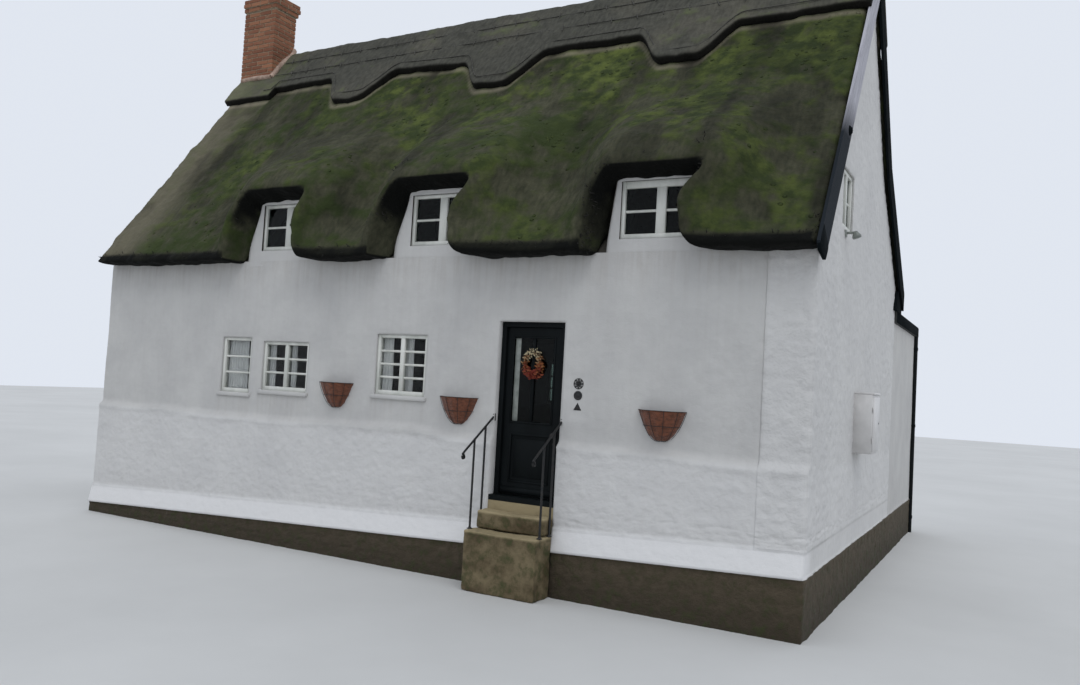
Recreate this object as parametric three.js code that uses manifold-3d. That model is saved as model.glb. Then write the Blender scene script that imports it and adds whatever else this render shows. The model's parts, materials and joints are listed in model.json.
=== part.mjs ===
// Thatched cottage of whitewashed rubble stone, the end house of a row.
// Millimetres, +Z up. X runs along the front to the right, Y runs into the house.
// The origin is in the middle of the front doorway, on the wall face, at the lowest ground level.

import * as THREE from "three";
import { mergeVertices } from "three/addons/utils/BufferGeometryUtils.js";
import Module from "manifold-3d";

const wasm = await Module();
wasm.setup();

// Driving dimensions
const GAP = 0.3;

const WALL = 500;
const LEFT_END = -7550;
const PARTY_WALL = 750;
const RIGHT_END = 3120;
const HOUSE_DEPTH = 5750;
const PLINTH_PROUD = 50;
const FOOTING_PROUD = 85;
const BAND_PROUD = 120;
const BAND_HEIGHT = 260;
const BASE_LINE_RIGHT = 600;
const BASE_LINE_FALL = 0.0427;
const LEDGE_BOTTOM = 1600;
const LEDGE_TOP = 1690;

const FLOOR_TOP = 1020;
const FLOOR_THICK = 150;
const UPPER_FLOOR_TOP = 3250;
const UPPER_FLOOR_THICK = 200;

const DOORWAY = { left: -440, right: 420, top: 3020 };
const DOOR_FRAME = { width: 60, front: 60, back: 150 };
const LEAF = { hingeGap: 5, lockGap: 8, topGap: 5, bottomGap: 6, front: 100, back: 144 };
const LEAF_LIGHT = { left: -295, right: 250, bottom: 1860, top: 2845 };
const LEAF_GLASS = 6;
const HINGE = { x: -377.5, y: 158, radius: 7, knuckle: 45, heights: [1250, 1990, 2750] };
const WREATH = { x: -20, z: 2540, radius: 98, tube: 36, stretch: 1.35 };
const HANDLE = { x: 292, z: 1740, rose: 26, knob: 30, reach: 58 };

const THRESHOLD_THICK = 60;
const STEP_TREADS = { bottom: 665, middle: 865 };
const STEP_FRONTS = { bottom: -480, middle: -270 };
const BOTTOM_STEP_SIDES = [-470, 450];
const RAIL = { radius: 14, wallHeight: 1904, slope: 0.665, end: -577, plate: 80 };
const RAIL_POSTS = [-376, -160];
const RAIL_X = [-455, 435];

const RIDGE_Y = 2690;
const RIDGE_OUTER = 7910;
const RIDGE_INNER = 7411;
const VERGE = 65;
const ROOF_SEAT_GAP = 0.5;

// Each roof side is drawn in its own (y, z): y = 0 is the wall face and y grows into the house.
const FRONT = {
  face: 0,
  sign: 1,
  outer: [[-335, 3762], [-356, 3800], [RIDGE_Y, RIDGE_OUTER]],
  inner: [[0, 3755], [RIDGE_Y, RIDGE_INNER]],
  levels: [3762, 3800, 3950, 4150, 4350, 4550, 4700, 4850, 5000, 5200, 5400, 5650, 5900, 6200],
  browFrom: 4600,
  browTo: 6150,
  dormers: [-3912, -1355, 1475],
};
const REAR = {
  face: HOUSE_DEPTH,
  sign: -1,
  outer: [[-440, 3780], [-470, 4050], [1450, 5600], [HOUSE_DEPTH - RIDGE_Y, RIDGE_OUTER]],
  inner: [[0, 4045], [1667, 5395], [HOUSE_DEPTH - RIDGE_Y, RIDGE_INNER]],
  levels: [3780, 4050, 4250, 4450, 4600, 4750, 4900, 5050, 5250, 5450, 5600, 5900],
  browFrom: 4600,
  browTo: 5600,
  dormers: [-3912, 1300],
};
const DORMER = {
  sill: 3930,
  head: 4570,
  halfWidth: 460,
  cheekDepth: 150,
  apron: [
    [-620, 3500], [-600, 3930], [-525, 4560], [-500, 4630],
    [500, 4630], [525, 4560], [600, 3930], [620, 3500],
  ],
  flare: 60,
  lift: 130,
  swell: 520,
  fade: 1300,
};

const RIDGE_CAP = { thick: 100, crown: 155, reach: 1150, drop: 650, end: 32 };
const SCALLOPS = { centres: [-4550, -1830, 970], topHalf: 700, bottomHalf: 300 };
const CORNER_BLOCK = { to: -6500, drop: 220 };

const CHIMNEY = { left: -7550, right: -6800, front: 2200, back: 2700, seat: 6700, neck: 8670 };
const OVERSAIL = { height: 75, proud: [25, 50, 40] };
const POT = { radius: 125, wall: 30, height: 380 };

const VERGE_BOARD = { thick: 32 };

const FRAME_FACE = 45;
const FRAME_DEPTH = 70;
const FRAME_SET_BACK = 15;
const GLASS = 4;
const FRONT_WINDOWS = [
  { name: "front_window_1", left: -5000, right: -4430, bottom: 1960, top: 2730, mullion: 0 },
  { name: "front_window_2", left: -4210, right: -3380, bottom: 2020, top: 2690, mullion: 60 },
  { name: "front_window_3", left: -2240, right: -1460, bottom: 2070, top: 2830, mullion: 60 },
];
const REAR_WINDOWS = [
  { name: "rear_window_1", left: -5620, right: -4780, bottom: 1960, top: 2730, mullion: 60 },
  { name: "rear_window_2", left: -2820, right: -1980, bottom: 1960, top: 2730, mullion: 60 },
];
const GABLE_WINDOW = { left: 1200, right: 1860, bottom: 4230, top: 4900 };

const PLANTERS = [
  { name: "planter_1", x: -2835, bottom: 1870 },
  { name: "planter_2", x: -930, bottom: 1790 },
  { name: "planter_3", x: 1615, bottom: 1790 },
];
const PLANTER = { halfWidth: 275, height: 320, depth: 200, foot: 70 };
const ORNAMENTS = [
  { name: "wall_rosette", x: 620, z: 2340, radius: 55, sides: 16 },
  { name: "wall_disc", x: 620, z: 2210, radius: 45, sides: 16 },
  { name: "wall_triangle", x: 620, z: 2075, radius: 48, sides: 3 },
];
const ORNAMENT_THICK = 14;

const CABINET = { front: 2350, back: 2850, bottom: 1700, top: 2430, proud: 250 };

const EXTENSION = { left: -480, back: 8900, wall: 250, top: 3560, roof: 180, overhang: 50 };
const EXTENSION_WINDOW = { left: 900, right: 1740, bottom: 1960, top: 2730 };
const DOWNPIPE = { radius: 38, y: 8700, sides: 12 };

// Finishes
const FINISH = {
  limewash: { color: 0xb4b8ba, roughness: 0.9 },
  thatch: { color: 0x3c4030, roughness: 1.0 },
  ridgeThatch: { color: 0x4a4740, roughness: 1.0 },
  paintedWood: { color: 0xd9dbdc, roughness: 0.5 },
  blackPaint: { color: 0x15181a, roughness: 0.4 },
  greyWood: { color: 0x6f6f74, roughness: 0.8 },
  glass: { color: 0x27302f, roughness: 0.05 },
  stone: { color: 0x6b6250, roughness: 0.9 },
  brick: { color: 0x7a4a36, roughness: 0.9 },
  clay: { color: 0x8a4f35, roughness: 0.8 },
  iron: { color: 0x1b1d1f, roughness: 0.5, metalness: 0.6 },
  coir: { color: 0x5a3626, roughness: 1.0 },
  boards: { color: 0x6a5138, roughness: 0.8 },
  wreath: { color: 0x9a4a24, roughness: 0.9 },
  cabinet: { color: 0xb5b2b3, roughness: 0.6 },
  felt: { color: 0x2b2c2d, roughness: 0.9 },
};

// Shape helpers
const ALONG_X = new THREE.Matrix4().makeBasis(
  new THREE.Vector3(0, 1, 0), new THREE.Vector3(0, 0, 1), new THREE.Vector3(1, 0, 0));
const AGAINST_Y = new THREE.Matrix4().makeBasis(
  new THREE.Vector3(1, 0, 0), new THREE.Vector3(0, 0, 1), new THREE.Vector3(0, -1, 0));

function asSolid(geometry) {
  const bare = geometry.clone();
  bare.deleteAttribute("normal");
  bare.deleteAttribute("uv");
  const merged = mergeVertices(bare);
  const vertProperties = new Float32Array(merged.attributes.position.array);
  const corners = merged.index.array;
  const kept = [];
  for (let i = 0; i < corners.length; i += 3) {
    const [a, b, c] = [corners[i], corners[i + 1], corners[i + 2]];
    if (a !== b && b !== c && c !== a) {
      kept.push(a, b, c);
    }
  }
  const triVerts = new Uint32Array(kept);
  return new wasm.Manifold(new wasm.Mesh({ numProp: 3, vertProperties, triVerts }));
}

function asGeometry(solid) {
  const mesh = solid.getMesh();
  const geometry = new THREE.BufferGeometry();
  geometry.setAttribute("position", new THREE.BufferAttribute(new Float32Array(mesh.vertProperties), 3));
  geometry.setIndex(new THREE.BufferAttribute(new Uint32Array(mesh.triVerts), 1));
  geometry.computeVertexNormals();
  return geometry;
}

function block(x, y, z) {
  const geometry = new THREE.BoxGeometry(x[1] - x[0], y[1] - y[0], z[1] - z[0]);
  return geometry.translate((x[0] + x[1]) / 2, (y[0] + y[1]) / 2, (z[0] + z[1]) / 2);
}

// Skin stretched over like sections: each section is { w, points: [[u, v], ...] } and w grows.
function loft(sections, basis) {
  const count = sections[0].points.length;
  const outlines = sections.map((section) => section.points.map(([u, v]) => new THREE.Vector2(u, v)));
  if (THREE.ShapeUtils.area(outlines[0]) < 0) {
    outlines.forEach((outline) => outline.reverse());
  }
  const positions = [];
  sections.forEach((section, i) => {
    outlines[i].forEach((point) => positions.push(point.x, point.y, section.w));
  });
  const index = [];
  for (let i = 0; i + 1 < sections.length; i += 1) {
    for (let j = 0; j < count; j += 1) {
      const next = (j + 1) % count;
      const a = i * count + j;
      const b = i * count + next;
      index.push(a, b, b + count, a, b + count, a + count);
    }
  }
  const last = (sections.length - 1) * count;
  THREE.ShapeUtils.triangulateShape(outlines[0], []).forEach(([a, b, c]) => index.push(c, b, a));
  THREE.ShapeUtils.triangulateShape(outlines[sections.length - 1], [])
    .forEach(([a, b, c]) => index.push(last + a, last + b, last + c));
  const geometry = new THREE.BufferGeometry();
  geometry.setAttribute("position", new THREE.Float32BufferAttribute(positions, 3));
  geometry.setIndex(index);
  return geometry.applyMatrix4(basis);
}

function prismAlongX(points, x0, x1) {
  return loft([{ w: x0, points }, { w: x1, points }], ALONG_X);
}

function prismAlongY(points, y0, y1) {
  return loft([{ w: -y1, points }, { w: -y0, points }], AGAINST_Y);
}

function rod(from, to, radius, sides = 8) {
  const a = new THREE.Vector3(...from);
  const b = new THREE.Vector3(...to);
  const geometry = new THREE.CylinderGeometry(radius, radius, a.distanceTo(b), sides);
  const turn = new THREE.Quaternion().setFromUnitVectors(
    new THREE.Vector3(0, 1, 0), b.clone().sub(a).normalize());
  const middle = a.add(b).multiplyScalar(0.5);
  return geometry.applyQuaternion(turn).translate(middle.x, middle.y, middle.z);
}

function bentRod(points, radius, steps) {
  const path = new THREE.CatmullRomCurve3(points.map((point) => new THREE.Vector3(...point)));
  const section = new THREE.Shape();
  section.absarc(0, 0, radius, 0, 2 * Math.PI, false);
  const options = { steps, bevelEnabled: false, extrudePath: path, curveSegments: 4 };
  return new THREE.ExtrudeGeometry(section, options);
}

function join(...geometries) {
  return asGeometry(geometries.map(asSolid).reduce((whole, piece) => whole.add(piece)));
}

function cut(geometry, ...cutters) {
  const solids = cutters.map(asSolid);
  return asGeometry(solids.reduce((whole, piece) => whole.subtract(piece), asSolid(geometry)));
}

function along(points, z) {
  const last = points.length - 2;
  let k = 0;
  while (k < last && z > points[k + 1][1]) {
    k += 1;
  }
  const [y0, z0] = points[k];
  const [y1, z1] = points[k + 1];
  return y0 + ((y1 - y0) * (z - z0)) / (z1 - z0);
}

function smooth(t) {
  const s = Math.min(1, Math.max(0, t));
  return s * s * (3 - 2 * s);
}

// Roof geometry shared by thatch, walls and boards
function innerHeight(side, y) {
  const turned = side.inner.map(([a, b]) => [b, a]);
  return along(turned, y);
}

function intoHouse(side, y) {
  return side.face + side.sign * y;
}

// The brow swells forward over an eyebrow window and dies into the slope higher up.
function browReach(side, z) {
  const lip = side.outer[1][0];
  if (z <= side.browFrom) {
    return Math.min(lip, along(side.outer, z));
  }
  const top = along(side.outer, side.browTo);
  const span = side.browTo - side.browFrom;
  const t = (z - side.browFrom) / span;
  if (t >= 1) {
    return along(side.outer, z);
  }
  const endSlope = (along(side.outer, side.browTo + 1) - top) * span;
  const t2 = t * t;
  const t3 = t2 * t;
  return lip * (2 * t3 - 3 * t2 + 1) + top * (3 * t2 - 2 * t3) + endSlope * (t3 - t2);
}

function browWeight(side, x) {
  const nearest = Math.min(...side.dormers.map((centre) => Math.abs(x - centre)));
  return 1 - smooth((nearest - DORMER.swell) / (DORMER.fade - DORMER.swell));
}

function thatchSection(side, x) {
  const weight = browWeight(side, x);
  const outer = side.levels.map((z) => {
    const plain = along(side.outer, z);
    return [plain + weight * (browReach(side, z) - plain), z];
  });
  const ridge = side.outer[side.outer.length - 1];
  const inner = [...side.inner].reverse();
  return [...outer, [ridge[0] - GAP / 2, ridge[1]], [inner[0][0] - GAP / 2, inner[0][1]], ...inner.slice(1)]
    .map(([y, z]) => [intoHouse(side, y), z]);
}

function roofColumns(side, x0, x1) {
  const stops = [x0, x1];
  const right = [200, 400, 520, 650, 800, 950, 1100, 1300];
  const offsets = [...right.map((offset) => -offset).reverse(), 0, ...right];
  side.dormers.forEach((centre) => offsets.forEach((offset) => stops.push(centre + offset)));
  return [...new Set(stops)].filter((x) => x >= x0 && x <= x1).sort((a, b) => a - b);
}

function dormerTunnel(side, centre) {
  const clear = 1;
  const widen = (extra, lift) => DORMER.apron.map(([x, z]) => {
    const raised = z > DORMER.sill ? z + lift + clear : z;
    return [centre + x + Math.sign(x) * (extra + clear), raised];
  });
  const outside = 800;
  const lipDepth = 356;
  const grow = outside / lipDepth;
  const rows = [
    { y: 700, points: widen(0, 0) },
    { y: 0, points: widen(0, 0) },
    { y: -outside, points: widen(DORMER.flare * grow, DORMER.lift * grow) },
  ];
  const sections = rows.map((row) => ({ w: -intoHouse(side, row.y), points: row.points }));
  sections.sort((a, b) => a.w - b.w);
  return loft(sections, AGAINST_Y);
}

function chimneyShaft(clear, bottom, top) {
  return block([CHIMNEY.left - clear, CHIMNEY.right + clear], [CHIMNEY.front - clear, CHIMNEY.back + clear],
    [bottom, top]);
}

function thatchSlope(side) {
  const columns = roofColumns(side, LEFT_END, RIGHT_END + VERGE);
  const slab = loft(columns.map((x) => ({ w: x, points: thatchSection(side, x) })), ALONG_X);
  const tunnels = side.dormers.map((centre) => dormerTunnel(side, centre));
  return cut(slab, ...tunnels, chimneyShaft(GAP, CHIMNEY.seat, RIDGE_OUTER + 1000));
}

function ridgeReach(x) {
  const nearest = Math.min(...SCALLOPS.centres.map((centre) => Math.abs(x - centre)));
  const scallop = 1 - smooth((nearest - SCALLOPS.bottomHalf) / (SCALLOPS.topHalf - SCALLOPS.bottomHalf));
  const corner = x <= CORNER_BLOCK.to ? CORNER_BLOCK.drop : 0;
  return RIDGE_CAP.reach + RIDGE_CAP.drop * scallop + corner;
}

function ridgeSection(x) {
  const reach = ridgeReach(x);
  const flap = (side) => {
    const points = side.outer;
    const [y0, z0] = points[points.length - 2];
    const [y1, z1] = points[points.length - 1];
    const length = Math.hypot(y1 - y0, z1 - z0);
    const down = [(y0 - y1) / length, (z0 - z1) / length];
    const out = [down[1], -down[0]];
    const at = (distance, height) => [
      y1 + down[0] * distance + out[0] * height,
      z1 + down[1] * distance + out[1] * height,
    ];
    return { foot: at(reach, GAP * 2), tip: at(reach, RIDGE_CAP.thick), crown: at(120, RIDGE_CAP.thick) };
  };
  const front = flap(FRONT);
  const rear = flap(REAR);
  const place = (side, point) => [intoHouse(side, point[0]), point[1]];
  return [
    place(FRONT, front.foot), place(FRONT, front.tip), place(FRONT, front.crown),
    [RIDGE_Y, RIDGE_OUTER + RIDGE_CAP.crown],
    place(REAR, rear.crown), place(REAR, rear.tip), place(REAR, rear.foot),
    [RIDGE_Y, RIDGE_OUTER + 1],
  ];
}

function ridgeCap() {
  const x0 = LEFT_END;
  const x1 = RIGHT_END + VERGE + RIDGE_CAP.end;
  const stops = [x0, CORNER_BLOCK.to, CORNER_BLOCK.to + 60, x1];
  const half = [SCALLOPS.bottomHalf, 400, 500, 600, SCALLOPS.topHalf];
  SCALLOPS.centres.forEach((centre) => half.forEach((h) => stops.push(centre - h, centre + h)));
  const columns = [...new Set(stops)].sort((a, b) => a - b);
  const saddle = loft(columns.map((x) => ({ w: x, points: ridgeSection(x) })), ALONG_X);
  return cut(saddle, chimneyShaft(GAP, CHIMNEY.seat, RIDGE_OUTER + 1000));
}

function vergeBoard(side) {
  const half = GAP / 2;
  const outer = side.outer.map(([y, z]) => [y, z]);
  const ridge = outer.pop();
  const fall = (ridge[1] - outer[outer.length - 1][1]) / (ridge[0] - outer[outer.length - 1][0]);
  const inner = side.inner.map(([y, z]) => [y, z]);
  const innerRidge = inner.pop();
  const points = [
    ...outer,
    [ridge[0] - half, ridge[1] - half * fall],
    [innerRidge[0] - half, innerRidge[1]],
    ...inner.reverse(),
  ].map(([y, z]) => [intoHouse(side, y), z]);
  const x0 = RIGHT_END + VERGE + GAP;
  return prismAlongX(points, x0, x0 + VERGE_BOARD.thick);
}

// Walls
function baseLine(x) {
  return BASE_LINE_RIGHT + (x - RIGHT_END) * BASE_LINE_FALL;
}

function frontWallSection(x) {
  const base = baseLine(x);
  const top = (y) => innerHeight(FRONT, y) - ROOF_SEAT_GAP;
  return [
    [-FOOTING_PROUD, 0], [-FOOTING_PROUD, base], [-BAND_PROUD, base],
    [-PLINTH_PROUD - 12, base + BAND_HEIGHT], [-PLINTH_PROUD, base + BAND_HEIGHT + 20],
    [-PLINTH_PROUD, LEDGE_BOTTOM], [0, LEDGE_TOP], [0, top(0)], [WALL, top(WALL)], [WALL, 0],
  ];
}

function dormerCheeks(side, centre) {
  const outline = DORMER.apron.map(([x, z]) => [centre + x, z]);
  const faces = [intoHouse(side, 0), intoHouse(side, DORMER.cheekDepth)].sort((a, b) => a - b);
  return prismAlongY(outline, faces[0], faces[1]);
}

function dormerHole(side, centre) {
  const faces = [intoHouse(side, -200), intoHouse(side, WALL + 200)].sort((a, b) => a - b);
  return block([centre - DORMER.halfWidth, centre + DORMER.halfWidth], faces, [DORMER.sill, DORMER.head]);
}

function windowHole(window, y0, y1) {
  return block([window.left, window.right], [y0, y1], [window.bottom, window.top]);
}

function within(x0, x1) {
  return (centre) => centre > x0 && centre < x1;
}

function frontWallPart(x0, x1) {
  const sections = [x0, x1].map((x) => ({ w: x, points: frontWallSection(x) }));
  const body = loft(sections, ALONG_X);
  const dormers = FRONT.dormers.filter(within(x0, x1));
  const windows = FRONT_WINDOWS.filter((window) => window.left > x0 && window.right < x1);
  const whole = join(body, ...dormers.map((centre) => dormerCheeks(FRONT, centre)));
  const holes = dormers.map((centre) => dormerHole(FRONT, centre));
  windows.forEach((window) => holes.push(windowHole(window, -200, WALL + 200)));
  return cut(whole, ...holes);
}

function wallOverDoor() {
  const top = (y) => innerHeight(FRONT, y) - ROOF_SEAT_GAP;
  const points = [[0, DOORWAY.top], [0, top(0)], [WALL, top(WALL)], [WALL, DOORWAY.top]];
  return prismAlongX(points, DOORWAY.left + GAP, DOORWAY.right - GAP);
}

function wallUnderDoor() {
  return block([DOORWAY.left + GAP, DOORWAY.right - GAP], [-PLINTH_PROUD, WALL],
    [0, FLOOR_TOP - THRESHOLD_THICK - GAP]);
}

function rearWall() {
  const top = (y) => innerHeight(REAR, y) - ROOF_SEAT_GAP;
  const section = [[0, 0], [0, top(0)], [WALL, top(WALL)], [WALL, 0]];
  const points = section.map(([y, z]) => [intoHouse(REAR, y), z]);
  const body = prismAlongX(points, LEFT_END, RIGHT_END);
  const whole = join(body, ...REAR.dormers.map((centre) => dormerCheeks(REAR, centre)));
  const holes = REAR.dormers.map((centre) => dormerHole(REAR, centre));
  REAR_WINDOWS.forEach((window) => {
    holes.push(windowHole(window, HOUSE_DEPTH - WALL - 200, HOUSE_DEPTH + 200));
  });
  return cut(whole, ...holes);
}

function gableOutline() {
  const front = WALL + GAP;
  const rear = HOUSE_DEPTH - WALL - GAP;
  const frontTop = innerHeight(FRONT, WALL + GAP) - ROOF_SEAT_GAP;
  const rearTop = innerHeight(REAR, WALL + GAP) - ROOF_SEAT_GAP;
  const knee = REAR.inner[1];
  return [
    [front, 0], [front, frontTop], [RIDGE_Y, RIDGE_INNER - 2 * ROOF_SEAT_GAP],
    [intoHouse(REAR, knee[0]), knee[1] - 2 * ROOF_SEAT_GAP], [rear, rearTop], [rear, 0],
  ];
}

function gableWall() {
  const hole = block([RIGHT_END - WALL - 100, RIGHT_END + 100], [GABLE_WINDOW.left, GABLE_WINDOW.right],
    [GABLE_WINDOW.bottom, GABLE_WINDOW.top]);
  return cut(prismAlongX(gableOutline(), RIGHT_END - WALL, RIGHT_END), hole);
}

function partyWall() {
  const wall = prismAlongX(gableOutline(), LEFT_END, LEFT_END + PARTY_WALL);
  return cut(wall, chimneyShaft(1, CHIMNEY.seat, RIDGE_OUTER));
}

function floorSlab(top, thick) {
  return block([LEFT_END + PARTY_WALL + GAP, RIGHT_END - WALL - GAP], [WALL + GAP, HOUSE_DEPTH - WALL - GAP],
    [top - thick, top]);
}

// Chimney
function chimneyStack() {
  const pieces = [chimneyShaft(0, CHIMNEY.seat + GAP, CHIMNEY.neck)];
  OVERSAIL.proud.forEach((proud, course) => {
    const bottom = CHIMNEY.neck + course * OVERSAIL.height;
    pieces.push(chimneyShaft(proud, bottom - 1, bottom + OVERSAIL.height));
  });
  return join(...pieces);
}

function chimneyPot() {
  const r = POT.radius;
  const bore = r - POT.wall;
  const profile = [
    [bore, 0], [r + 25, 0], [r + 25, 40], [r, 60], [r - 10, POT.height - 60],
    [r + 12, POT.height - 50], [r + 12, POT.height], [bore - 5, POT.height], [bore, 0],
  ].map(([x, y]) => new THREE.Vector2(x, y));
  const pot = new THREE.LatheGeometry(profile, 20).rotateX(Math.PI / 2);
  const top = CHIMNEY.neck + OVERSAIL.proud.length * OVERSAIL.height + GAP;
  return pot.translate((CHIMNEY.left + CHIMNEY.right) / 2, (CHIMNEY.front + CHIMNEY.back) / 2, top);
}

// Windows
function sash(width, height, mullion) {
  const f = FRAME_FACE;
  const sill = f + 15;
  const front = FRAME_DEPTH / 2 - GLASS / 2 - GAP;
  const lights = mullion
    ? [[f, (width - mullion) / 2], [(width + mullion) / 2, width - f]]
    : [[f, width - f]];
  const rebate = block([f, width - f], [front, FRAME_DEPTH + 10], [sill, height - f]);
  return cut(block([0, width], [0, FRAME_DEPTH], [0, height]), rebate,
    ...lights.map((x) => block(x, [-10, FRAME_DEPTH + 10], [sill, height - f])));
}

function pane(width, height) {
  const f = FRAME_FACE;
  const middle = FRAME_DEPTH / 2;
  return block([f + GAP, width - f - GAP], [middle - GLASS / 2, middle + GLASS / 2],
    [f + 15 + GAP, height - f - GAP]);
}

function dormerWindow(centre) {
  return {
    left: centre - DORMER.halfWidth, right: centre + DORMER.halfWidth, bottom: DORMER.sill, top: DORMER.head,
    mullion: 110,
  };
}

function glazedSash(width, height, mullion) {
  const f = FRAME_FACE - 1;
  const front = (FRAME_DEPTH - GLASS) / 2 - 1;
  return join(sash(width, height, mullion),
    block([f, width - f], [front, front + GLASS + 1], [f + 15, height - f]));
}

function turnedToRear(geometry, window) {
  const width = window.right - window.left;
  return geometry.rotateZ(Math.PI).translate(window.left + width - GAP, HOUSE_DEPTH - FRAME_SET_BACK,
    window.bottom + GAP);
}

function clearSize(window) {
  const width = window.right - window.left - 2 * GAP;
  const height = window.top - window.bottom - 2 * GAP;
  return { width, height };
}

// Door
function leafOutline() {
  const left = DOORWAY.left + DOOR_FRAME.width + LEAF.hingeGap;
  const right = DOORWAY.right - DOOR_FRAME.width - LEAF.lockGap;
  const bottom = FLOOR_TOP + LEAF.bottomGap;
  const top = DOORWAY.top - DOOR_FRAME.width - LEAF.topGap;
  return { left, right, bottom, top };
}

function doorLeaf() {
  const leaf = leafOutline();
  const panel = { left: -275, right: 235, bottom: 1180, top: 1720, recess: 14 };
  const panelled = cut(
    block([leaf.left, leaf.right], [LEAF.front, LEAF.back], [leaf.bottom, leaf.top]),
    block([LEAF_LIGHT.left, LEAF_LIGHT.right], [LEAF.front - 10, LEAF.back + 10],
      [LEAF_LIGHT.bottom, LEAF_LIGHT.top]),
    block([panel.left, panel.right], [LEAF.front - 10, LEAF.front + panel.recess],
      [panel.bottom, panel.top]),
  );
  const plateX = [HINGE.x + 3.5, HINGE.x + 28];
  const plateY = [LEAF.back - 1, HINGE.y - HINGE.radius + 4];
  return join(panelled, ...hingeHalves(HINGE.knuckle + GAP, plateX, plateY));
}

function hingeHalves(rise, plateX, plateY) {
  return HINGE.heights.flatMap((height) => {
    const z = [height + rise, height + rise + HINGE.knuckle];
    const knuckle = rod([HINGE.x, HINGE.y, z[0]], [HINGE.x, HINGE.y, z[1]], HINGE.radius, 12);
    return [knuckle, block(plateX, plateY, z)];
  });
}

function hingePost() {
  const post = doorPost(DOORWAY.left + GAP, DOORWAY.left + DOOR_FRAME.width);
  const plateY = [DOOR_FRAME.back - 1, HINGE.y - HINGE.radius + 4];
  return join(post, ...hingeHalves(0, [HINGE.x - 22, HINGE.x], plateY));
}

function doorGlass() {
  const middle = (LEAF.front + LEAF.back) / 2;
  return block([LEAF_LIGHT.left + GAP, LEAF_LIGHT.right - GAP],
    [middle - LEAF_GLASS / 2, middle + LEAF_GLASS / 2],
    [LEAF_LIGHT.bottom + GAP, LEAF_LIGHT.top - GAP]);
}

function doorHandle() {
  const profile = [[0, 0], [HANDLE.rose, 0], [HANDLE.rose, 6], [10, 10], [10, 24], [HANDLE.knob, 34],
    [HANDLE.knob, 48], [0, HANDLE.reach]].map(([x, y]) => new THREE.Vector2(x, y));
  return new THREE.LatheGeometry(profile, 16).rotateX(Math.PI)
    .translate(HANDLE.x, LEAF.front - GAP, HANDLE.z);
}

function doorWreath() {
  const glassFace = (LEAF.front + LEAF.back - LEAF_GLASS) / 2;
  return new THREE.TorusGeometry(WREATH.radius, WREATH.tube, 8, 24).rotateX(Math.PI / 2)
    .scale(1, 0.8, WREATH.stretch)
    .translate(WREATH.x, glassFace - GAP - WREATH.tube * 0.8, WREATH.z);
}

function doorPost(left, right) {
  return block([left, right], [DOOR_FRAME.front, DOOR_FRAME.back], [FLOOR_TOP + GAP, DOORWAY.top - GAP]);
}

// Steps and handrails
function handrail(x) {
  const r = RAIL.radius;
  const railAt = (y) => [x, y, RAIL.wallHeight + y * RAIL.slope];
  const [, endY, endZ] = railAt(RAIL.end);
  const scroll = [[9, -40], [7, -60], [-23, -65], [-33, -30]].map(([y, z]) => [x, endY + y, endZ + z]);
  const rail = bentRod([...scroll, ...[RAIL.end, ...RAIL_POSTS, -9].map(railAt)], r, 32);
  const posts = RAIL_POSTS.map((y) => rod([x, y, STEP_TREADS.bottom + GAP], railAt(y), r));
  const plate = block([x - 18, x + 14], [-10 - GAP, -GAP],
    [RAIL.wallHeight - RAIL.plate / 2, RAIL.wallHeight + RAIL.plate / 2]);
  return join(rail, ...posts, plate);
}

// Wall fittings
function planter(piece) {
  const { halfWidth, height, depth, foot } = PLANTER;
  const profile = [[0, 0], [foot, 0], [foot + 70, 60], [halfWidth - 70, 170], [halfWidth - 20, 290],
    [halfWidth, 300], [halfWidth, height], [0, height]].map(([x, y]) => new THREE.Vector2(x, y));
  const basket = asSolid(new THREE.LatheGeometry(profile, 20).rotateX(Math.PI / 2)
    .scale(1, depth / halfWidth, 1));
  const half = asSolid(block([-halfWidth - 10, halfWidth + 10], [-depth - 10, -GAP], [-10, height + 10]));
  return asGeometry(basket.intersect(half)).translate(piece.x, 0, piece.bottom);
}

function ornament(piece) {
  return new THREE.CylinderGeometry(piece.radius, piece.radius, ORNAMENT_THICK, piece.sides)
    .translate(piece.x, -GAP - ORNAMENT_THICK / 2, piece.z);
}

function meterCabinet() {
  return block([RIGHT_END + GAP, RIGHT_END + CABINET.proud], [CABINET.front, CABINET.back],
    [CABINET.bottom, CABINET.top]);
}

// Rear extension
function extensionWalls() {
  const y0 = HOUSE_DEPTH + GAP;
  const outer = block([EXTENSION.left, RIGHT_END], [y0, EXTENSION.back], [0, EXTENSION.top]);
  const t = EXTENSION.wall;
  const room = block([EXTENSION.left + t, RIGHT_END - t], [y0 - 100, EXTENSION.back - t],
    [-10, EXTENSION.top + 10]);
  return cut(outer, room, windowHole(EXTENSION_WINDOW, EXTENSION.back - t - 50, EXTENSION.back + 50));
}

function extensionFloor() {
  const t = EXTENSION.wall + GAP;
  return block([EXTENSION.left + t, RIGHT_END - t], [HOUSE_DEPTH + GAP, EXTENSION.back - t],
    [FLOOR_TOP - FLOOR_THICK, FLOOR_TOP]);
}

function extensionRoof() {
  const o = EXTENSION.overhang;
  return block([EXTENSION.left - o, RIGHT_END + o], [HOUSE_DEPTH + GAP, EXTENSION.back + o],
    [EXTENSION.top + GAP, EXTENSION.top + EXTENSION.roof]);
}

function downpipe() {
  const r = DOWNPIPE.radius;
  const x = RIGHT_END + r + 2 * GAP;
  return rod([x, DOWNPIPE.y, 0], [x, DOWNPIPE.y, EXTENSION.top - GAP], r,
    DOWNPIPE.sides);
}

// Assembly
const cottage = new THREE.Group();

function add(name, geometry, finish, parent = cottage) {
  const material = new THREE.MeshStandardMaterial({ metalness: 0, ...FINISH[finish] });
  const mesh = new THREE.Mesh(asGeometry(asSolid(geometry)), material);
  mesh.name = name;
  parent.add(mesh);
  return mesh;
}

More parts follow.
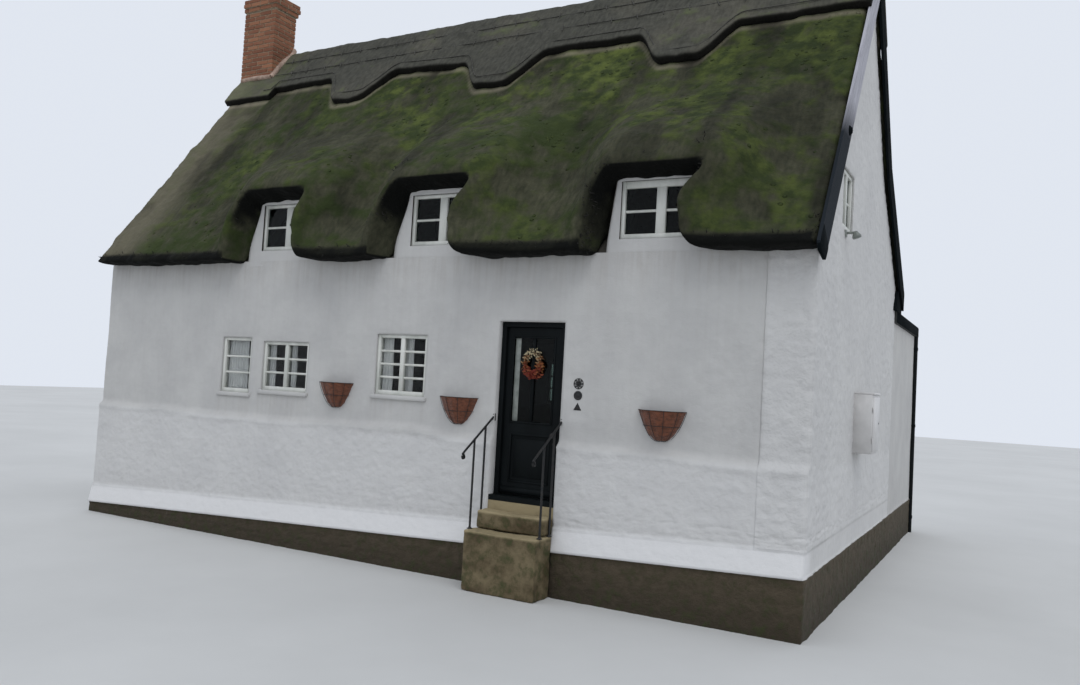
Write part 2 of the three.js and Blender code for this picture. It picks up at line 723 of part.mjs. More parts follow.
function addWalls() {
  add("front_wall_left", frontWallPart(LEFT_END, DOORWAY.left), "limewash");
  add("front_wall_right", frontWallPart(DOORWAY.right, RIGHT_END), "limewash");
  add("front_wall_over_door", wallOverDoor(), "limewash");
  add("front_wall_under_door", wallUnderDoor(), "limewash");
  add("right_gable_wall", gableWall(), "limewash");
  add("party_wall", partyWall(), "limewash");
  add("rear_wall", rearWall(), "limewash");
  add("ground_floor", floorSlab(FLOOR_TOP, FLOOR_THICK), "boards");
  add("upper_floor", floorSlab(UPPER_FLOOR_TOP, UPPER_FLOOR_THICK), "boards");
}

function addRoof() {
  add("thatch_front", thatchSlope(FRONT), "thatch");
  add("thatch_rear", thatchSlope(REAR), "thatch");
  add("thatch_ridge", ridgeCap(), "ridgeThatch");
  add("verge_board_front", vergeBoard(FRONT), "greyWood");
  add("verge_board_rear", vergeBoard(REAR), "blackPaint");
  add("chimney_stack", chimneyStack(), "brick");
  add("chimney_pot", chimneyPot(), "clay");
}

function addFrontWindow(name, window) {
  const { width, height } = clearSize(window);
  const place = new THREE.Group();
  place.position.set(window.left + GAP, FRAME_SET_BACK, window.bottom + GAP);
  add(`${name}_frame`, sash(width, height, window.mullion), "paintedWood", place);
  add(`${name}_glass`, pane(width, height), "glass", place);
  cottage.add(place);
}

function addWindows() {
  FRONT_WINDOWS.forEach((window) => addFrontWindow(window.name, window));
  FRONT.dormers.forEach((centre, i) => addFrontWindow(`eyebrow_window_${i + 1}`, dormerWindow(centre)));
  const rear = [...REAR_WINDOWS];
  REAR.dormers.forEach((centre, i) => {
    rear.push({ ...dormerWindow(centre), name: `rear_eyebrow_window_${i + 1}` });
  });
  rear.forEach((window) => {
    const { width, height } = clearSize(window);
    add(window.name, turnedToRear(glazedSash(width, height, window.mullion), window), "paintedWood");
  });
  const gable = clearSize(GABLE_WINDOW);
  const turned = glazedSash(gable.width, gable.height, 0).rotateZ(Math.PI / 2)
    .translate(RIGHT_END - FRAME_SET_BACK, GABLE_WINDOW.left + GAP, GABLE_WINDOW.bottom + GAP);
  add("gable_window", turned, "paintedWood");
  const extension = clearSize(EXTENSION_WINDOW);
  const back = glazedSash(extension.width, extension.height, 60).rotateZ(Math.PI)
    .translate(EXTENSION_WINDOW.right - GAP, EXTENSION.back - FRAME_SET_BACK, EXTENSION_WINDOW.bottom + GAP);
  add("extension_window", back, "paintedWood");
}

function addDoor() {
  const inner = DOOR_FRAME.width;
  add("door_post_left", hingePost(), "blackPaint");
  add("door_post_right", doorPost(DOORWAY.right - inner, DOORWAY.right - GAP), "blackPaint");
  add("door_head", block([DOORWAY.left + inner + GAP, DOORWAY.right - inner - GAP],
    [DOOR_FRAME.front, DOOR_FRAME.back], [DOORWAY.top - inner, DOORWAY.top - GAP]), "blackPaint");
  add("door_threshold", block([DOORWAY.left + GAP, DOORWAY.right - GAP], [-PLINTH_PROUD, WALL],
    [FLOOR_TOP - THRESHOLD_THICK, FLOOR_TOP]), "stone");
  add("door_leaf", doorLeaf(), "blackPaint");
  add("door_glass", doorGlass(), "glass");
  add("door_handle", doorHandle(), "iron");
  add("door_wreath", doorWreath(), "wreath");
}

function addSteps() {
  add("bottom_step",
    block(BOTTOM_STEP_SIDES, [STEP_FRONTS.bottom, -BAND_PROUD - GAP], [0, STEP_TREADS.bottom]),
    "stone");
  add("middle_step", block([DOORWAY.left + GAP, DOORWAY.right - GAP], [STEP_FRONTS.middle, -PLINTH_PROUD - GAP],
    [STEP_TREADS.bottom + GAP, STEP_TREADS.middle]), "stone");
  add("handrail_left", handrail(RAIL_X[0]), "iron");
  add("handrail_right", handrail(RAIL_X[1]), "iron");
}

function addFittings() {
  PLANTERS.forEach((piece) => add(piece.name, planter(piece), "coir"));
  ORNAMENTS.forEach((piece) => add(piece.name, ornament(piece), "iron"));
  add("meter_cabinet", meterCabinet(), "cabinet");
}

function addExtension() {
  add("extension_walls", extensionWalls(), "limewash");
  add("extension_floor", extensionFloor(), "boards");
  add("extension_roof", extensionRoof(), "felt");
  add("downpipe", downpipe(), "blackPaint");
}

addWalls();
addRoof();
addWindows();
addDoor();
addSteps();
addFittings();
addExtension();

export default cottage;
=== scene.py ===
"""Dresses the solids of a thatched, limewashed end cottage for a picture in soft overcast light.

Metres throughout. X runs along the front to the right, Y into the house, Z up, and the origin is in the
middle of the front doorway on the wall face, at the lowest ground level.
"""

import json
import logging
import math
from contextlib import contextmanager
from dataclasses import dataclass, field
from enum import Enum
from functools import partial
from typing import Callable, Iterator, Optional, Sequence

import bmesh
import bpy
import numpy as np
from mathutils import Matrix, Vector

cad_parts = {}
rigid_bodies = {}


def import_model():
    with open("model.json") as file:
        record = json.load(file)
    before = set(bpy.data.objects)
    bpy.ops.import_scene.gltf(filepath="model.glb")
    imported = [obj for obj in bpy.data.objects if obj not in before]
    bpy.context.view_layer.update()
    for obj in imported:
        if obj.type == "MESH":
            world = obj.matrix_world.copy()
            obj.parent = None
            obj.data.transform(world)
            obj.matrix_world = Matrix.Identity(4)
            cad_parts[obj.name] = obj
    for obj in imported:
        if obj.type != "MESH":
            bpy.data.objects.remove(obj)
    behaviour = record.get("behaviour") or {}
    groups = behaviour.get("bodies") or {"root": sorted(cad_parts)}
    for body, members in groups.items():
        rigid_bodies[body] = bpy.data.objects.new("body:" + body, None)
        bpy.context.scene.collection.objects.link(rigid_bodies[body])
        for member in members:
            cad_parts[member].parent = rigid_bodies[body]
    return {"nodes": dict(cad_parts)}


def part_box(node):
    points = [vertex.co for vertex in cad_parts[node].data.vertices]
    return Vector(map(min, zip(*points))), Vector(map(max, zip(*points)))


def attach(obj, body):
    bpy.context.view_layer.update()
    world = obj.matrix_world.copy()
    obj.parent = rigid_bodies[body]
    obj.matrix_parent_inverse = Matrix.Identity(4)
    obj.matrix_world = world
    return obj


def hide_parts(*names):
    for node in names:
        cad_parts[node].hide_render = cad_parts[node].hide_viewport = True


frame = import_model()

LOG = logging.getLogger("cottage")
HOUSE = "house"
DOOR = "front_door"

Point = tuple[float, float, float]
Pair = tuple[float, float]
Array = np.ndarray
Mesh = bpy.types.Mesh
Solid = bpy.types.Object
Tree = bpy.types.NodeTree
Node = bpy.types.Node
Adder = Callable[..., Node]

# Output that a link takes when only the node is named: colour of a mix, number of an attribute, object place
MAIN_OUTPUT = {"ShaderNodeMix": 2, "ShaderNodeAttribute": 2, "ShaderNodeTexCoord": 3}
UP = (0, 0, 1)
TO_FRONT = (0, -1, 0)
TO_GABLE = (1, 0, 0)


# Colour, noise and mesh helpers
def linear(code: str) -> tuple[float, float, float, float]:
    """Turns an sRGB hex colour into linear light.

    Args:
        code: the colour, such as "#A0B0C0".

    Returns:
        Red, green, blue and alpha.
    """
    values = [int(code[i:i + 2], 16) / 255 for i in (1, 3, 5)]
    red, green, blue = [v / 12.92 if v <= 0.04045 else ((v + 0.055) / 1.055) ** 2.4 for v in values]
    return red, green, blue, 1.0


def feed(tree: Tree, node: Node, values: dict) -> Node:
    """Gives a node its settings, fixed values and links.

    Args:
        tree: node tree that holds the node.
        node: the node.
        values: a lower-case name is the node's own setting, "stops" a colour ramp's stops, and any other key
            an input socket, which takes a link from a socket or a node, a colour as hex, or a fixed value.

    Returns:
        The same node.
    """
    for key, value in values.items():
        if isinstance(value, Node):
            value = value.outputs[MAIN_OUTPUT.get(value.bl_idname, 0)]
        if key == "stops":
            while len(node.color_ramp.elements) < len(value):
                node.color_ramp.elements.new(0.5)
            for element, (place, code) in zip(node.color_ramp.elements, value):
                element.position = place
                element.color = linear(code)
        elif isinstance(key, str) and key[0].islower():
            setattr(node, key, value)
        elif isinstance(value, bpy.types.NodeSocket):
            tree.links.new(value, node.inputs[key])
        else:
            colour = isinstance(value, str) and value.startswith("#")
            node.inputs[key].default_value = linear(value) if colour else value
    return node


def add_node(tree: Tree, kind: str, values: Optional[dict] = None) -> Node:
    """Adds a node with its settings, fixed values and links; a kind without "Node" in it is a shader's."""
    return feed(tree, tree.nodes.new(kind if "Node" in kind else "ShaderNode" + kind), values or {})


def ease(t: Array) -> Array:
    """Smooth step from 0 to 1 of values clipped to that range."""
    s = np.clip(t, 0.0, 1.0)
    return s * s * (3 - 2 * s)


def lattice(ix: Array, iy: Array, iz: Array, seed: int) -> Array:
    """Repeatable random number for each corner of a lattice.

    Args:
        ix, iy, iz: whole coordinates of the corners.
        seed: number of the field.

    Returns:
        Numbers from 0 to 1.
    """
    mixed = (ix.astype(np.int64) * 73856093) ^ (iy.astype(np.int64) * 19349663)
    mixed = mixed ^ (iz.astype(np.int64) * 83492791) ^ (seed * 2654435761)
    mixed = mixed & 0xFFFFFFFF
    mixed = ((mixed ^ (mixed >> 13)) * 1274126177) & 0xFFFFFFFF
    mixed = mixed ^ (mixed >> 16)
    return (mixed & 0xFFFFFF) / float(0xFFFFFF)


def noise(points: Array, size: Sequence[float], seed: int, octaves: int = 1) -> Array:
    """Soft random heights.

    Args:
        points: (n, 3) places in metres.
        size: length of a wave along X, Y and Z in metres.
        seed: number of the field.
        octaves: how many waves are added, each about half as long as the one before.

    Returns:
        Heights from about -1 to 1.
    """
    total = np.zeros(len(points))
    reach = 0.0
    weight = 1.0
    scaled = points / np.asarray(size, float)
    for octave in range(octaves):
        base = np.floor(scaled)
        part = scaled - base
        part = part * part * (3 - 2 * part)
        value = np.zeros(len(points))
        for corner in range(8):
            step = (corner & 1, (corner >> 1) & 1, corner >> 2)
            share = 1.0
            for axis in range(3):
                share = share * (part[:, axis] if step[axis] else 1 - part[:, axis])
            value += share * lattice(*(base[:, axis] + step[axis] for axis in range(3)), seed + octave * 7)
        total += weight * (2 * value - 1)
        reach += weight
        weight *= 0.5
        scaled = scaled * 2.03 + 5.1
    return total / reach


def rubble(u: Array, v: Array, length: float, height: float, seed: int) -> tuple[Array, Array]:
    """Cells of random rubble in a wall face.

    Args:
        u, v: places along and up the wall in metres.
        length, height: usual size of one stone in metres.
        seed: number of the field.

    Returns:
        Distance from the joints as a number from 0, in a joint, to 1, and one random number for each stone.
    """
    p = u / length
    q = v / height
    first = np.full(len(u), 9.0)
    second = np.full(len(u), 9.0)
    tint = np.zeros(len(u))
    level = np.zeros(len(u))
    for dr in (-1, 0, 1):
        for dc in (-1, 0, 1):
            c = np.floor(p) + dc
            r = np.floor(q) + dr
            dx = c + 0.15 + 0.7 * lattice(c, r, level, seed) - p
            dy = r + 0.2 + 0.6 * lattice(c, r, level, seed + 1) - q
            away = np.sqrt(dx * dx + dy * dy)
            nearer = away < first
            second = np.where(nearer, first, np.minimum(second, away))
            tint = np.where(nearer, lattice(c, r, level, seed + 2), tint)
            first = np.where(nearer, away, first)
    return np.clip((second - first) / 0.4, 0, 1), tint


def places(x: Array, y: Array, z: Array) -> Array:
    """Places from their coordinates, each an array or one number for all."""
    return np.stack(np.broadcast_arrays(x, y, z), axis=-1)


def read(source: Sequence, name: str, width: int = 3, kind: type = np.float32) -> Array:
    """Reads what Blender keeps for the items of a mesh.

    Args:
        source: the items.
        name: name of the value.
        width: how many numbers an item has.
        kind: type of the numbers.

    Returns:
        The numbers, with one row for each item where the width is over 1.
    """
    values = np.empty(len(source) * width, kind)
    source.foreach_get(name, values)
    return values.reshape(-1, width) if width > 1 else values


def read_points(mesh: Mesh) -> Array:
    """Vertex places of a mesh as an (n, 3) array."""
    return read(mesh.vertices, "co", kind=float)


def read_normals(mesh: Mesh) -> Array:
    """Vertex normals of a mesh as an (n, 3) array."""
    return read(mesh.vertex_normals, "vector").astype(float)


def write_points(mesh: Mesh, points: Array) -> None:
    """Puts new vertex places into a mesh."""
    mesh.vertices.foreach_set("co", np.ascontiguousarray(points, np.float32).ravel())
    mesh.update()


def set_numbers(mesh: Mesh, **numbers: Array) -> None:
    """Stores numbers for the vertices of a mesh, which materials read by their names.

    Args:
        mesh: the mesh.
        numbers: the values under each name, one a vertex or one for all.
    """
    for name, values in numbers.items():
        layer = mesh.attributes.get(name) or mesh.attributes.new(name, "FLOAT", "POINT")
        layer.data.foreach_set("value", np.full(len(mesh.vertices), values, np.float32))


@contextmanager
def edited(mesh: Mesh) -> Iterator[bmesh.types.BMesh]:
    """Opens a mesh for changes and puts them back into it.

    Args:
        mesh: the mesh.

    Yields:
        The open mesh.
    """
    bm = bmesh.new()
    bm.from_mesh(mesh)
    yield bm
    bm.to_mesh(mesh)
    bm.free()


def close_holes(mesh: Mesh) -> Mesh:
    """Fills the open rims of a mesh and turns its faces outwards.

    Args:
        mesh: the mesh.

    Returns:
        The same mesh.
    """
    with edited(mesh) as bm:
        bmesh.ops.holes_fill(bm, edges=[edge for edge in bm.edges if edge.is_boundary], sides=0)
        bmesh.ops.recalc_face_normals(bm, faces=bm.faces)
    return mesh


def with_modifier(mesh: Mesh, kind: str, settings: dict) -> Mesh:
    """Runs one modifier on a mesh and keeps the result as a plain mesh.

    Args:
        mesh: mesh to change.
        kind: the modifier's type.
        settings: its own settings, in lower case, and the inputs of its node tree, in capitals.

    Returns:
        The new mesh.
    """
    holder = bpy.data.objects.new("work", mesh)
    bpy.context.scene.collection.objects.link(holder)
    modifier = holder.modifiers.new("work", kind)
    for key, value in settings.items():
        if key[0].islower():
            setattr(modifier, key, value)
        else:
            sockets = modifier.node_group.interface.items_tree
            modifier[next(s.identifier for s in sockets if s.name == key and s.in_out == "INPUT")] = value
    graph = bpy.context.evaluated_depsgraph_get()
    result = bpy.data.meshes.new_from_object(holder.evaluated_get(graph))
    holder.modifiers.clear()
    bpy.data.objects.remove(holder)
    return result


def remeshed(node: str, voxel: float, rounds: int) -> Mesh:
    """Copy of a solid in even cells, relaxed so that its hard edges turn round.

    Args:
        node: name of the solid.
        voxel: size of a cell in metres.
        rounds: how often each vertex moves half the way to the middle of its neighbours.

    Returns:
        The new mesh.
    """
    mesh = frame["nodes"][node].data.copy()
    with edited(mesh) as bm:
        bmesh.ops.remove_doubles(bm, verts=bm.verts, dist=0.00005)
    size = voxel
    mesh = with_modifier(mesh, "REMESH", {"mode": "VOXEL", "voxel_size": size, "use_smooth_shade": True})
    a, b = read(mesh.edges, "vertices", 2, np.int32).T
    points = read_points(mesh)
    many = len(points)
    count = np.maximum(np.bincount(a, minlength=many) + np.bincount(b, minlength=many), 1)
    for _ in range(rounds):
        total = np.zeros_like(points)
        for axis in range(3):
            total[:, axis] = np.bincount(a, points[b, axis], many) + np.bincount(b, points[a, axis], many)
        points += 0.5 * (total / count[:, None] - points)
    write_points(mesh, points)
    return mesh


# Finishes
@dataclass(frozen=True)
class Finish:
    """One surface finish: the real material and how it is drawn."""

    name: str
    colour: str
    roughness: float
    metallic: float = 0.0
    ior: float = 1.5

    def material(self) -> bpy.types.Material:
        """Builds the material once and gives it back each time."""
        known = bpy.data.materials.get(self.name)
        if known is not None:
            return known
        made = bpy.data.materials.new(self.name)
        made.use_nodes = True
        tree = made.node_tree
        add = partial(add_node, tree)
        shader = next(node for node in tree.nodes if node.bl_idname == "ShaderNodeBsdfPrincipled")
        feed(tree, shader, {
            "Base Color": self.colour, "Roughness": self.roughness, "Metallic": self.metallic,
            "IOR": self.ior, **self.dress(add, add("TexCoord"))})
        return made

    def dress(self, add: Adder, place: Node) -> dict:
        """Adds the pattern, wear and relief of this finish.

        Args:
            add: adds a node to the material.
            place: node that gives object coordinates.

        Returns:
            What the shader's inputs get.
        """
        raise NotImplementedError


@dataclass(frozen=True)
class Mottled(Finish):
    """A finish of two tones in soft patches with a fine grain, such as paint, clay, plastic or iron."""

    second: str = "#808080"
    patch: float = 0.15
    grain: float = 0.006
    depth: float = 0.0004
    stretch: Point = (1.0, 1.0, 1.0)
    spread: float = 0.08
    specular: float = 0.5
    sheen: float = 0.0

    def dress(self, add: Adder, place: Node) -> dict:
        """Adds two tones, uneven gloss and a fine grain."""
        turned = add("Mapping", {"vector_type": "TEXTURE", "Vector": place, "Scale": self.stretch})
        size = 1 / self.patch
        patches = add("TexNoise", {"Vector": turned, "Scale": size, "Detail": 5.0, "Roughness": 0.6})
        share = add("MapRange", {"Value": patches, "From Min": 0.36, "From Max": 0.64})
        tone = add("Mix", {"data_type": "RGBA", 0: share, 6: self.colour, 7: self.second})
        grains = add("TexNoise", {"Vector": turned, "Scale": 1 / self.grain, "Detail": 3.0})
        dull, bright = max(self.roughness - self.spread, 0.02), min(self.roughness + self.spread, 1.0)
        gloss = add("MapRange", {"Value": patches, "To Min": dull, "To Max": bright})
        relief = add("Bump", {"Height": grains, "Strength": 1.0, "Distance": self.depth})
        return {"Base Color": tone, "Roughness": gloss, "Normal": relief, "Specular IOR Level": self.specular,
                "Sheen Weight": self.sheen}


@dataclass(frozen=True)
class Limewash(Finish):
    """Limewash brushed over rubble: chalky, with faint run marks, painted shade under the eaves, a whiter
    fresh band at the foot and a lower wall painted lighter, partly as painted light.
    """

    worn: str = "#B8B7B5"
    fresh: str = "#DDDCDB"
    stain_and_painted_shade: str = "#8C8072"

    def dress(self, add: Adder, place: Node) -> dict:
        """Adds cloudy tones, run marks with painted shade under the eaves, the fresh band with the lighter
        lower wall, and brushed lumps.
        """
        # clouds of about 0.7 m, where coats of different age show
        clouds = add("TexNoise", {"Vector": place, "Scale": 1.4, "Detail": 6.0, "Roughness": 0.65})
        share = add("MapRange", {"Value": clouds, "From Min": 0.38, "From Max": 0.66})
        chalk = add("Mix", {"data_type": "RGBA", 0: share, 6: self.colour, 7: self.worn})
        # run marks 60 mm wide and 0.9 m long, only where the attribute says that water runs, strongest under
        # the eaves, where they also stand for painted shade
        runs = add("Mapping", {"vector_type": "TEXTURE", "Vector": place, "Scale": (0.06, 0.06, 0.9)})
        streak = add("TexNoise", {"Vector": runs, "Scale": 1.0, "Detail": 4.0, "Roughness": 0.6})
        spread = {"From Min": 0.45, "From Max": 0.75, "To Min": 0.05, "To Max": 0.3}
        lines = add("MapRange", {"Value": streak, **spread})
        runs_and_painted_shade = add("Attribute", {"attribute_name": "grime"})
        dirt = add("Math", {"operation": "MULTIPLY", 0: lines, 1: runs_and_painted_shade})
        dirty = add("Mix", {"data_type": "RGBA", 0: dirt, 6: chalk, 7: self.stain_and_painted_shade})
        # the whiter fresh band, and the lower wall painted lighter, partly as painted light against the shade
        # of the eaves
        band = add("Attribute", {"attribute_name": "fresh"})
        tone = add("Mix", {"data_type": "RGBA", 0: band, 6: dirty, 7: self.fresh})
        # brushed lumps of 110 mm and grit of 9 mm
        lumps = add("TexNoise", {"Vector": place, "Scale": 9.0, "Detail": 4.0, "Roughness": 0.5})
        harsh = add("Attribute", {"attribute_name": "harsh"})
        raised = add("Math", {"operation": "MULTIPLY_ADD", 0: lumps, 1: harsh, 2: 0.0})
        grit = add("TexNoise", {"Vector": place, "Scale": 110.0, "Detail": 2.0})
        coarse = add("Bump", {"Height": raised, "Strength": 1.0, "Distance": 0.03})
        fine = add("Bump", {"Height": grit, "Normal": coarse, "Strength": 0.8, "Distance": 0.003})
        return {"Base Color": tone, "Normal": fine, "Specular IOR Level": 0.2}


@dataclass(frozen=True)
class Straw(Finish):
    """Weathered thatch: stems that run down the slope, moss in patches, near black where they are cut and
    where shade is painted.
    """

    light: str = "#51503F"
    moss: str = "#343D22"
    bright: str = "#586131"
    cut: str = "#0E0F0D"
    bare: str = "#8A8270"
    pitch: float = 0.0

    def dress(self, add: Adder, place: Node) -> dict:
        """Adds stems along the slope, moss by the attribute, and dark cut ends with painted shade."""
        # tufts of stems are drawn 45 mm apart, coarser than the real 5 mm, so that they show, and 0.14 m long
        laid = add("Mapping", {
            "vector_type": "TEXTURE", "Vector": place, "Rotation": (self.pitch, 0.0, 0.0),
            "Scale": (0.045, 0.14, 0.06)})
        stems = add("TexNoise", {"Vector": laid, "Scale": 1.0, "Detail": 3.0, "Roughness": 0.5})
        share = add("MapRange", {"Value": stems, "From Min": 0.22, "From Max": 0.80})
        straw = add("Mix", {"data_type": "RGBA", 0: share, 6: self.colour, 7: self.light})
        # moss cushions of 230 mm with finer tufts on them, on patches that the attribute gives
        cushions = add("TexNoise", {"Vector": place, "Scale": 4.4, "Detail": 5.0, "Roughness": 0.5})
        cover = add("Attribute", {"attribute_name": "moss"})
        wanted = add("Math", {"operation": "ADD", 0: cushions, 1: cover})
        mossy = add("MapRange", {"Value": wanted, "From Min": 0.66, "From Max": 0.88})
        tint = add("TexNoise", {"Vector": place, "Scale": 5.0, "Detail": 6.0, "Roughness": 0.6})
        tints = add("MapRange", {"Value": tint, "From Min": 0.42, "From Max": 0.62})
        growth = add("Attribute", {"attribute_name": "growth"})
        young = add("Math", {"operation": "MULTIPLY", 0: tints, 1: growth})
        green = add("Mix", {"data_type": "RGBA", 0: young, 6: self.moss, 7: self.bright})
        tone = add("Mix", {"data_type": "RGBA", 0: mossy, 6: straw, 7: green})
        # lighter bare straw, then near black for cut straw and for painted shade, each where its attribute
        # says
        for name, colour in (("bare", self.bare), ("cut", self.cut)):
            share = add("Attribute", {"attribute_name": name})
            tone = add("Mix", {"data_type": "RGBA", 0: share, 6: tone, 7: colour})
        ridges = add("Bump", {"Height": stems, "Strength": 0.8, "Distance": 0.006})
        tufts = add("Bump", {"Height": cushions, "Normal": ridges, "Strength": 1.0, "Distance": 0.075})
        return {"Base Color": tone, "Normal": tufts, "Specular IOR Level": 0.15}


@dataclass(frozen=True)
class Earthed(Finish):
    """Worn stone that is clean where feet or rain reach it and brown and mossy on its sides and foot."""

    soil: str = "#33291C"
    moss: str = "#3C4420"
    stone: float = 0.06
    relief: float = 0.012

    def dress(self, add: Adder, place: Node) -> dict:
        """Adds grains, soil and moss by the attribute, and a pitted face."""
        clouds = add("TexNoise", {"Vector": place, "Scale": 1 / self.stone, "Detail": 6.0, "Roughness": 0.7})
        # grains of 6 mm
        grains = add("TexNoise", {"Vector": place, "Scale": 160.0, "Detail": 3.0})
        spread = {"From Min": 0.35, "From Max": 0.7, "To Min": -0.16, "To Max": 0.2}
        share = add("MapRange", {"Value": clouds, **spread})
        soiled = add("Attribute", {"attribute_name": "soil"})
        dirt = add("Math", {"operation": "ADD", "use_clamp": True, 0: share, 1: soiled})
        dirty = add("Mix", {"data_type": "RGBA", 0: dirt, 6: self.colour, 7: self.soil})
        green = add("MapRange", {"Value": clouds, "From Min": 0.5, "From Max": 0.66})
        mossy = add("Math", {"operation": "MULTIPLY", 0: green, 1: soiled})
        tone = add("Mix", {"data_type": "RGBA", 0: mossy, 6: dirty, 7: self.moss})
        coarse = add("Bump", {"Height": clouds, "Strength": 1.0, "Distance": self.relief})
        fine = add("Bump", {"Height": grains, "Normal": coarse, "Strength": 0.8, "Distance": 0.0015})
        return {"Base Color": tone, "Normal": fine}


@dataclass(frozen=True)
class FiredBrick(Finish):
    """Hand-made bricks: each has its own tone, with soot and lichen in patches and a sandy face."""

    dark: str = "#68402F"
    pale: str = "#A07858"
    lichen: str = "#8A8268"

    def dress(self, add: Adder, place: Node) -> dict:
        """Adds a tone for each brick, lichen and a sandy face."""
        own = add("Attribute", {"attribute_name": "tint"})
        stops = [(0.0, self.dark), (0.55, self.colour), (1.0, self.pale)]
        tones = add("ValToRGB", {"stops": stops, "Fac": own})
        # lichen in patches of 70 mm, and sand of 5 mm, coarser than real so that it shows
        clouds = add("TexNoise", {"Vector": place, "Scale": 14.0, "Detail": 6.0, "Roughness": 0.7})
        share = add("MapRange", {"Value": clouds, "From Min": 0.55, "From Max": 0.75, "To Max": 0.7})
        tone = add("Mix", {"data_type": "RGBA", 0: share, 6: tones, 7: self.lichen})
        grains = add("TexNoise", {"Vector": place, "Scale": 220.0, "Detail": 3.0})
        relief = add("Bump", {"Height": grains, "Strength": 1.0, "Distance": 0.002})
        return {"Base Color": tone, "Normal": relief}


@dataclass(frozen=True)
class SawnTimber(Finish):
    """Sawn or boarded wood: long grain, end joints and gaps between boards of a given width."""

    second: str = "#4A3A2A"
    board: float = 0.18
    gap: str = "#15110C"
    across: Point = (1.0, 0.0, 0.0)
    along: Point = (0.03, 0.9, 0.03)

    def dress(self, add: Adder, place: Node) -> dict:
        """Adds grain, a tone for each board and dark gaps."""
        laid = add("Mapping", {"vector_type": "TEXTURE", "Vector": place, "Scale": self.along})
        grain = add("TexNoise", {"Vector": laid, "Scale": 1.0, "Detail": 6.0, "Roughness": 0.65})
        share = add("MapRange", {"Value": grain, "From Min": 0.35, "From Max": 0.65})
        wood = add("Mix", {"data_type": "RGBA", 0: share, 6: self.colour, 7: self.second})
        run = add("VectorMath", {"operation": "DOT_PRODUCT", 0: place, 1: self.across})
        count = add("Math", {"operation": "DIVIDE", 0: run.outputs["Value"], 1: self.board})
        part = add("Math", {"operation": "PINGPONG", 0: count, 1: 0.5})
        joint = add("MapRange", {"Value": part, "From Max": 0.03, "To Min": 1.0, "To Max": 0.0})
        tone = add("Mix", {"data_type": "RGBA", 0: joint, 6: wood, 7: self.gap})
        relief = add("Bump", {"Height": grain, "Strength": 1.0, "Distance": 0.002})
        return {"Base Color": tone, "Normal": relief}


@dataclass(frozen=True)
class VergeTimber(Finish):
    """Old verge boarding: lilac grey and bleached high on the slope, dark and damp towards its foot."""

    damp: str = "#20252A"
    change: Pair = (5.1, 5.6)

    def dress(self, add: Adder, place: Node) -> dict:
        """Adds long cracks and the change from bleached to damp wood."""
        # cracks 20 mm apart and 0.5 m long, laid along the slope
        laid = add("Mapping", {
            "vector_type": "TEXTURE", "Vector": place, "Rotation": (math.radians(53.5), 0.0, 0.0),
            "Scale": (0.02, 0.5, 0.02)})
        cracks = add("TexNoise", {"Vector": laid, "Scale": 1.0, "Detail": 6.0, "Roughness": 0.7})
        height = add("SeparateXYZ", {0: place})
        low, high = self.change
        rise = add("MapRange", {"Value": height.outputs["Z"], "From Min": low, "From Max": high})
        wood = add("Mix", {"data_type": "RGBA", 0: rise, 6: self.damp, 7: self.colour})
        share = add("MapRange", {"Value": cracks, "From Min": 0.45, "From Max": 0.7, "To Max": 0.5})
        tone = add("Mix", {"data_type": "RGBA", 0: share, 6: wood, 7: self.damp})
        relief = add("Bump", {"Height": cracks, "Strength": 1.0, "Distance": 0.004})
        return {"Base Color": tone, "Normal": relief, "Specular IOR Level": 0.12}


@dataclass(frozen=True)
class Pane(Finish):
    """Drawn window glass: clear and not quite flat; its low index keeps the pale studio out."""

    def dress(self, add: Adder, place: Node) -> dict:
        """Makes it see-through, with the slow waves of drawn glass."""
        # waves of 140 mm
        waves = add("TexNoise", {"Vector": place, "Scale": 7.0, "Detail": 1.0})
        relief = add("Bump", {"Height": waves, "Strength": 0.35, "Distance": 0.004})
        return {"Transmission Weight": 1.0, "Normal": relief}


# Pitch of the front slope, from its eaves lip at depth -0.356 and height 3.80 to the ridge at 2.69 and 7.91
FRONT_PITCH = math.atan2(7.91 - 3.80, 2.69 + 0.356)
# Pitch of the upper rear slope, from its bend at depth 1.45 and height 5.60 to the ridge at 3.06 and 7.91
REAR_PITCH = math.atan2(7.91 - 5.60, 3.06 - 1.45)

# Limewash over rubble, dead flat and chalky
LIMEWASH = Limewash("brushed_limewash", "#C3C2BF", 0.92)
# Long straw thatch some decades old, with moss, near black at its cut faces and where shade is painted
THATCH_FRONT = Straw("straw_front_slope", "#36382B", 1.0, pitch=FRONT_PITCH)
THATCH_REAR = Straw("straw_rear_slope", "#3E3D34", 1.0, pitch=-FRONT_PITCH, moss="#424A2E", bright="#56623A")
# Newer straw on the ridge, greyer and with less moss, near black at its cut edge where shade is painted
RIDGE_FRONT = Straw(
    "straw_ridge_front", "#393934", 1.0, light="#54534B", moss="#4A4F3A", bright="#5C6544", cut="#191815",
    pitch=FRONT_PITCH)
# Rubble footing, damp and mossy, and the trodden stone of the steps
FOOTING = Earthed("mossy_rubble", "#5C5140", 0.95, soil="#2C2418", moss="#39411D", stone=0.12, relief=0.05)
STEP_STONE = Earthed("worn_step_stone", "#9A8C6C", 0.85, soil="#43361F", stone=0.13)
# Hand-made bricks of the stack, each burnt to its own tone and sandy to the eye
BRICK = FiredBrick("hand_made_brick", "#82543C", 0.92, dark="#744832", pale="#946448")
# Lime mortar, pale and gritty, and the pinkish fillet at the chimney's foot
MORTAR = Mottled("lime_mortar", "#A89880", 0.95, second="#887A68", patch=0.05, grain=0.004, depth=0.001)
FILLET = Mottled(
    "pink_mortar_fillet", "#B49C8C", 0.95, second="#8C7668", patch=0.08, grain=0.006, depth=0.002)
# Terracotta of the pot, sooty in patches, with hardly any shine
CLAY = Mottled("terracotta_pot", "#8A4F35", 0.8, second="#5E3A2A", patch=0.09, grain=0.004, depth=0.0006)
